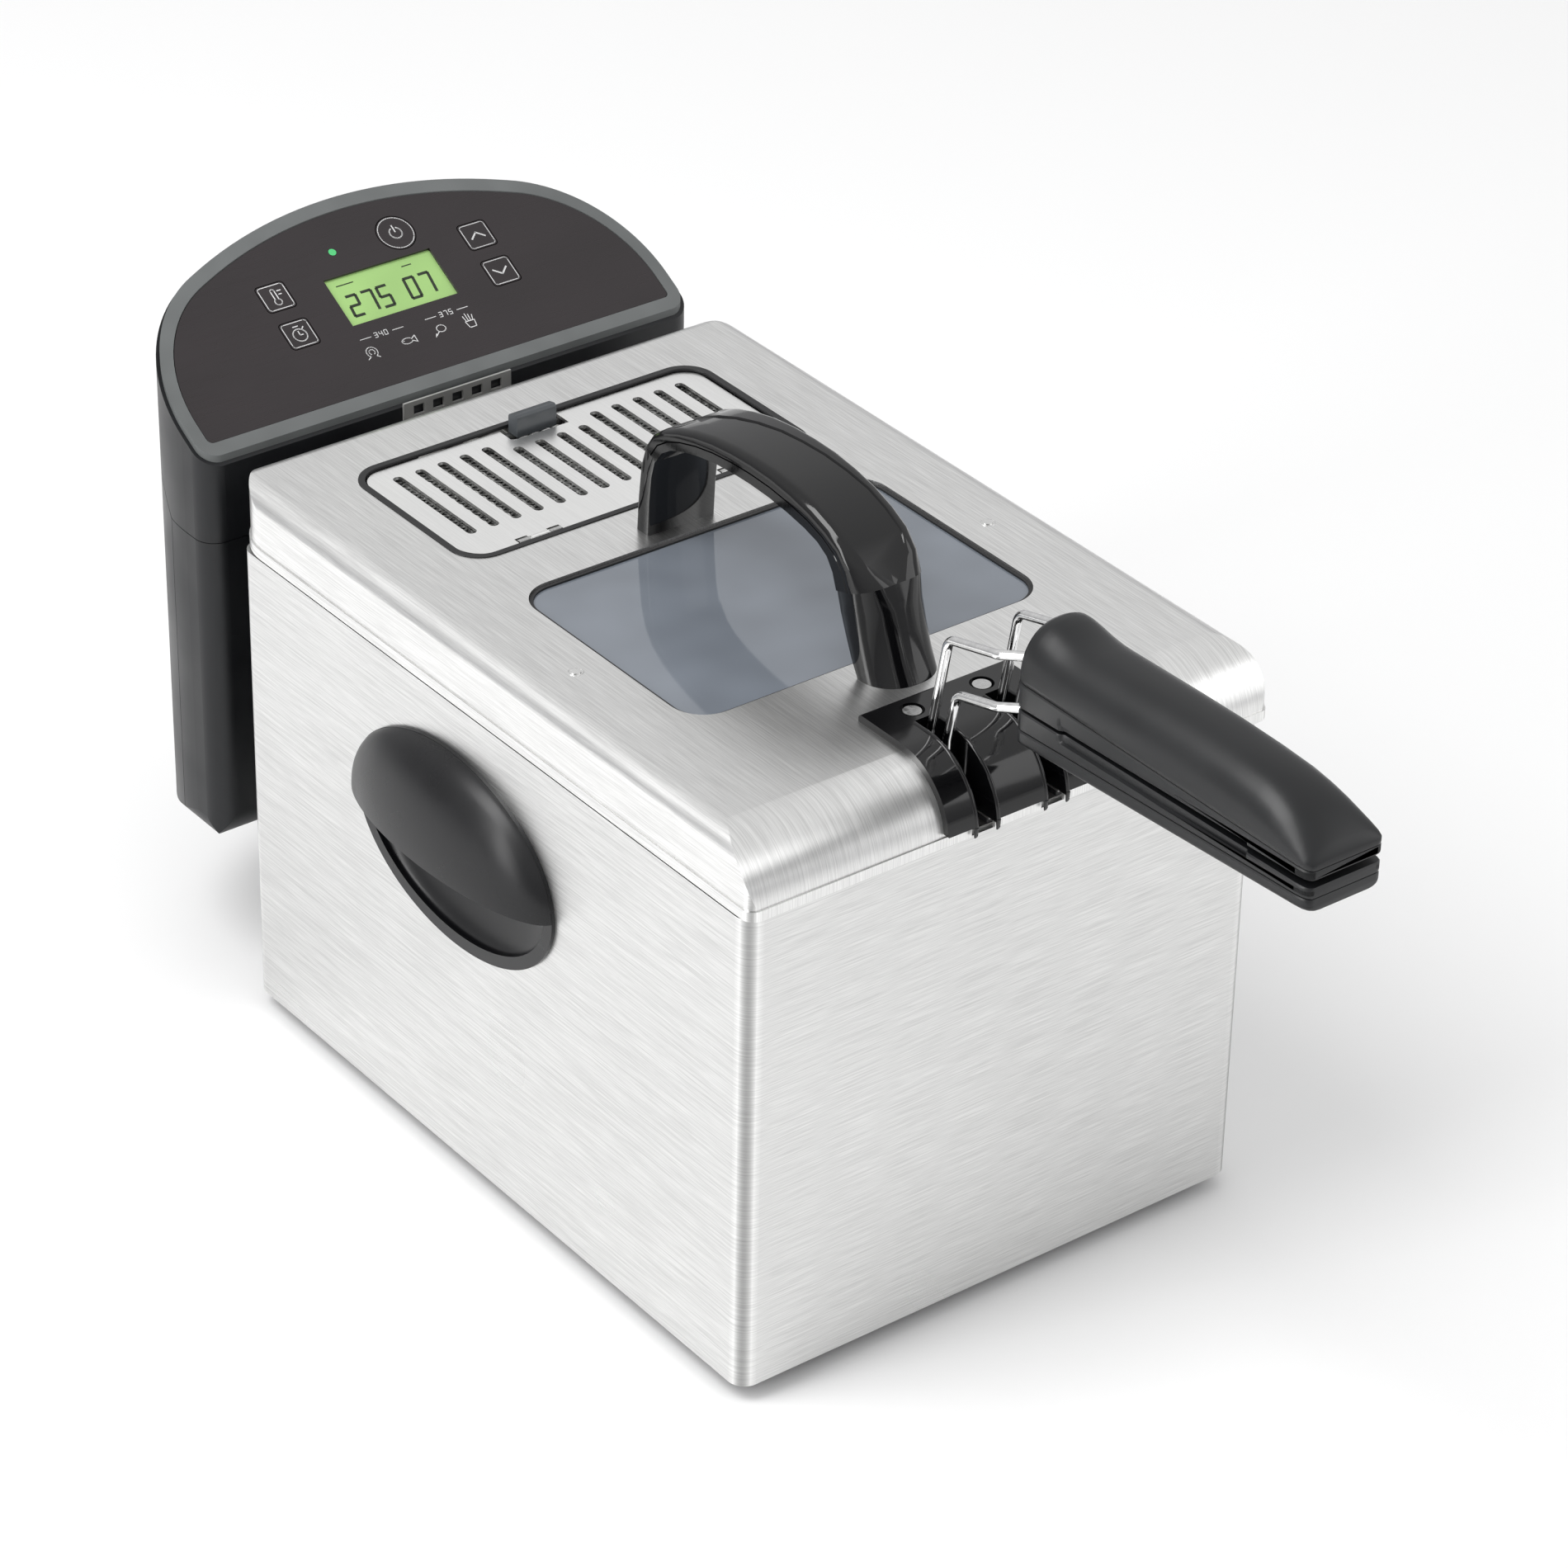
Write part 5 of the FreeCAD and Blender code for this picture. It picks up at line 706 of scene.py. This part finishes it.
def strokes(name, lines, body, width=0.5, lift=0.06, material=INK, slot="panel_film"):
    """Printed lines: each is a list of (x, v) points, drawn as a flat ribbon."""
    verts, faces = [], []
    for line in lines:
        for (x0, v0), (x1, v1) in zip(line, line[1:]):
            way = Vector((x1 - x0, v1 - v0))
            if way.length < 1e-6:
                continue
            way.normalize()
            side = Vector((-way.y, way.x)) * (width / 2)
            cap = way * (width / 2)
            start = len(verts)
            for x, v in ((x0 - cap.x + side.x, v0 - cap.y + side.y),
                         (x0 - cap.x - side.x, v0 - cap.y - side.y),
                         (x1 + cap.x - side.x, v1 + cap.y - side.y),
                         (x1 + cap.x + side.x, v1 + cap.y + side.y)):
                verts.append(on_panel(x, v, lift))
            faces.append((start, start + 1, start + 2, start + 3))
    return piece(name, verts, faces, slot, body, material=material)


def arc(cx, cv, radius, start, end, count=20, squash=1.0):
    points = []
    for k in range(count + 1):
        t = math.radians(start + (end - start) * k / count)
        points.append((cx + radius * math.cos(t), cv + squash * radius * math.sin(t)))
    return points


def rounded_square(cx, cv, half, radius):
    points = []
    for sx, sv, start in ((1, 1, 0), (-1, 1, 90), (-1, -1, 180), (1, -1, 270)):
        points += arc(cx + sx * (half - radius), cv + sv * (half - radius), radius, start,
                      start + 90, 5)
    return points + points[:1]


# the strokes of each seven-segment figure, lettered clockwise from the top with g across
SEGMENTS = {"0": "abcdef", "1": "bc", "2": "abged", "3": "abgcd", "4": "fgbc", "5": "afgcd",
            "7": "abc"}


def digit(text, x, v, width, height, lean=0.1):
    """One seven-segment figure as a list of strokes."""
    corners = {"a": ((0, 1), (1, 1)), "b": ((1, 1), (1, .5)), "c": ((1, .5), (1, 0)),
               "d": ((0, 0), (1, 0)), "e": ((0, .5), (0, 0)), "f": ((0, 1), (0, .5)),
               "g": ((0, .5), (1, .5))}
    shrink = 0.1
    lines = []
    for name in SEGMENTS[text]:
        (u0, w0), (u1, w1) = corners[name]
        du, dw = (u1 - u0) * shrink, (w1 - w0) * shrink * 1.2
        points = [(u0 + du, w0 + dw), (u1 - du, w1 - dw)]
        lines.append([(x + (u * width) + lean * w * height, v + w * height) for u, w in points])
    return lines


def number(text, x, v, width, height, step):
    lines = []
    for i, figure in enumerate(text):
        lines += digit(figure, x + i * step, v, width, height)
    return lines


def panel_marks():
    set_x, up_x = -47.0, 47.0
    upper, lower = 60.5, 41.8
    frame_half = 5.6
    frame_corner = 1.2
    slot = "key_grey"
    # each key's centre and the lines of its sign
    keys = {
        "temp_key": (set_x, upper, [
            arc(set_x, upper - 2.3, 1.5, 120, 420, 16),
            [(set_x - 0.8, upper - 1.0), (set_x - 0.8, upper + 3.0)],
            arc(set_x, upper + 3.0, 0.8, 0, 180, 8),
            [(set_x + 0.8, upper + 3.0), (set_x + 0.8, upper - 1.0)],
            [(set_x + 2.0, upper + 2.6), (set_x + 3.4, upper + 2.6)],
            [(set_x + 2.0, upper + 0.9), (set_x + 3.0, upper + 0.9)]]),
        "timer_key": (set_x, lower, [
            arc(set_x, lower - 0.6, 2.9, 0, 360, 24),
            [(set_x, lower - 0.6), (set_x, lower + 1.2)],
            [(set_x, lower - 0.6), (set_x + 1.3, lower - 0.6)],
            [(set_x - 1.0, lower + 3.6), (set_x + 1.0, lower + 3.6)],
            [(set_x + 2.3, lower + 2.0), (set_x + 3.0, lower + 2.7)]]),
        "up_key": (up_x, upper, [[(up_x - 3, upper - 1.2), (up_x, upper + 1.4),
                                  (up_x + 3, upper - 1.2)]]),
        "down_key": (up_x, lower, [[(up_x - 3, lower + 1.2), (up_x, lower - 1.4),
                                    (up_x + 3, lower + 1.2)]]),
    }
    for body, (x, v, sign) in keys.items():
        strokes(body + "_border", [rounded_square(x, v, frame_half, frame_corner)], body, 0.35,
                slot=slot)
        bold = 0.7 if body in ("up_key", "down_key") else 0.45
        strokes(body + "_sign", sign, body, bold, slot=slot)
    sx, sv = 15.6, 72.4
    strokes("start_key_border", [arc(sx, sv, 7.4, 0, 360, 48)], "start_key", 0.35,
            slot="key_cream")
    strokes("start_key_sign", [arc(sx, sv, 2.6, 120, 420, 24), [(sx, sv + 0.6), (sx, sv + 3.6)]],
            "start_key", 0.55, slot="key_cream")
    # two preset groups: a range line with its temperature, and two foods each
    rule_v = 31.0
    rules = [(-25.5, -20.6), (-10.6, -5.7), (4.6, 9.5), (19.5, 24.4)]
    strokes("preset_lines", [[(x0, rule_v), (x1, rule_v)] for x0, x1 in rules], "cabinet", 0.3)
    strokes("preset_numbers", number("340", -19.0, 30.0, 1.3, 2.2, 2.3)
            + number("375", 11.2, 30.0, 1.3, 2.2, 2.3), "cabinet", 0.32)
    fish = [arc(-7.6, 24.4, 2.4, 20, 340, 16, 0.55), [(-5.4, 24.8), (-3.6, 26.0), (-3.6, 22.8),
            (-5.4, 24.0)], [(-9.2, 24.7), (-9.0, 24.7)]]
    prawn = [arc(-24.0, 24.4, 2.4, -60, 230, 14), arc(-24.0, 24.4, 1.2, -60, 230, 12),
             [(-25.6, 22.4), (-27.0, 21.6)], [(-22.9, 22.2), (-21.8, 21.4)]]
    leg = [arc(8.6, 25.2, 2.0, 0, 360, 16, 0.8), [(7.0, 24.0), (5.2, 22.6)],
           [(5.4, 23.4), (4.6, 22.2)]]
    chips = [[(19.6, 24.6), (20.2, 21.6), (23.2, 21.6), (23.8, 24.6), (19.6, 24.6)],
             [(20.2, 24.8), (19.8, 27.2)], [(21.2, 24.8), (21.2, 28.2)],
             [(22.2, 24.8), (22.4, 27.6)], [(23.2, 24.8), (23.9, 27.0)]]
    strokes("preset_foods", fish + prawn + leg + chips, "cabinet", 0.35)


def display():
    """The lit window with its figures, set just under the panel's film."""
    half, low, high = 24.75, 38.0, 61.3
    front, back, ink = -1.2, -1.45, -1.15
    corners = [(-half, low), (half, low), (half, high), (-half, high)]
    rings = [[on_panel(x, v, height) for x, v in corners] for height in (back, front)]
    verts, faces = loft(rings)
    piece("display_window", verts, faces, "display_glass", "cabinet")
    figure = {"v": 42.4, "width": 4.3, "height": 9.6, "step": 7.0}
    figures = number("275", -20.5, **figure) + number("07", 6.2, **figure)
    strokes("display_figures", figures, "cabinet", 1.25, lift=ink, material=DIGIT,
            slot="display_glass")
    strokes("display_dots", [[(-20.4, 57.6), (-13.0, 57.6)], [(10.0, 57.6), (14.0, 57.6)]],
            "cabinet", 0.5, lift=ink, material=DIGIT, slot="display_glass")


grips()
lid_handle()
spot_rings()
saddle_ribs()
woven_mesh()
wire_basket()
panel_marks()
display()

# ------------------------------------------------------------------ studio


FLOOR_SIZE = 6.0
LAMP_TARGET = (0, 0, 0.15)


def lamp(name, place, size_x, size_y, power):
    data = bpy.data.lights.new(name, "AREA")
    data.shape = "RECTANGLE"
    data.size, data.size_y = size_x, size_y
    data.energy = power
    obj = bpy.data.objects.new(name, data)
    bpy.context.scene.collection.objects.link(obj)
    obj.location = place
    way = Vector(LAMP_TARGET) - Vector(place)
    obj.rotation_euler = way.to_track_quat("-Z", "Y").to_euler()


def studio():
    """A pale floor, an even sky that is darker low down, and three soft lamps."""
    size = FLOOR_SIZE
    mesh = bpy.data.meshes.new("studio_floor")
    mesh.from_pydata([(-size, -size, 0), (size, -size, 0), (size, size, 0), (-size, size, 0)], [],
                     [(0, 1, 2, 3)])
    floor = bpy.data.objects.new("studio_floor", mesh)
    bpy.context.scene.collection.objects.link(floor)
    mesh.materials.append(Look("studio_floor", (0.9, 0.9, 0.9), rough=0.9).material)

    world = bpy.data.worlds.new("studio")
    bpy.context.scene.world = world
    world.use_nodes = True
    tree = world.node_tree
    background = tree.nodes["Background"]
    coords = tree.nodes.new("ShaderNodeTexCoord")
    split = tree.nodes.new("ShaderNodeSeparateXYZ")
    ramp = tree.nodes.new("ShaderNodeValToRGB")
    ramp.color_ramp.elements[0].position = 0.0
    ramp.color_ramp.elements[0].color = (0.55, 0.55, 0.56, 1)
    ramp.color_ramp.elements[1].position = 0.6
    ramp.color_ramp.elements[1].color = (1.0, 1.0, 1.0, 1)
    tree.links.new(coords.outputs["Generated"], split.inputs[0])
    tree.links.new(split.outputs["Z"], ramp.inputs[0])
    tree.links.new(ramp.outputs[0], background.inputs["Color"])
    background.inputs["Strength"].default_value = 0.8

    lamp("key", (-1.1, 0.3, 1.9), 0.9, 1.4, 24)
    lamp("fill", (1.8, -1.6, 1.2), 1.4, 1.8, 10)
    lamp("left", (-2.2, 0.2, 0.9), 0.5, 1.6, 14)


CAMERA_PLACE = (-1052.18, -1229.51, 1216.34)
CAMERA_ANGLES = (-37.730, 31.895, 1.173)
CAMERA_LENS = 126.46


def camera():
    data = bpy.data.cameras.new("camera")
    data.lens = CAMERA_LENS
    data.sensor_width = 36.0
    data.clip_end = 20.0
    obj = bpy.data.objects.new("camera", data)
    bpy.context.scene.collection.objects.link(obj)
    azimuth, elevation, roll = (math.radians(angle) for angle in CAMERA_ANGLES)
    back = Vector((math.sin(azimuth) * math.cos(elevation),
                   -math.cos(azimuth) * math.cos(elevation), math.sin(elevation)))
    right = Vector((math.cos(azimuth), math.sin(azimuth), 0.0))
    up = back.cross(right)
    side = right * math.cos(roll) + up * math.sin(roll)
    top = up * math.cos(roll) - right * math.sin(roll)
    turn = Matrix((side, top, back)).transposed()
    obj.matrix_world = Matrix.Translation(at(*CAMERA_PLACE)) @ turn.to_4x4()
    bpy.context.scene.camera = obj


studio()
camera()
bpy.context.scene.view_settings.view_transform = "Standard"
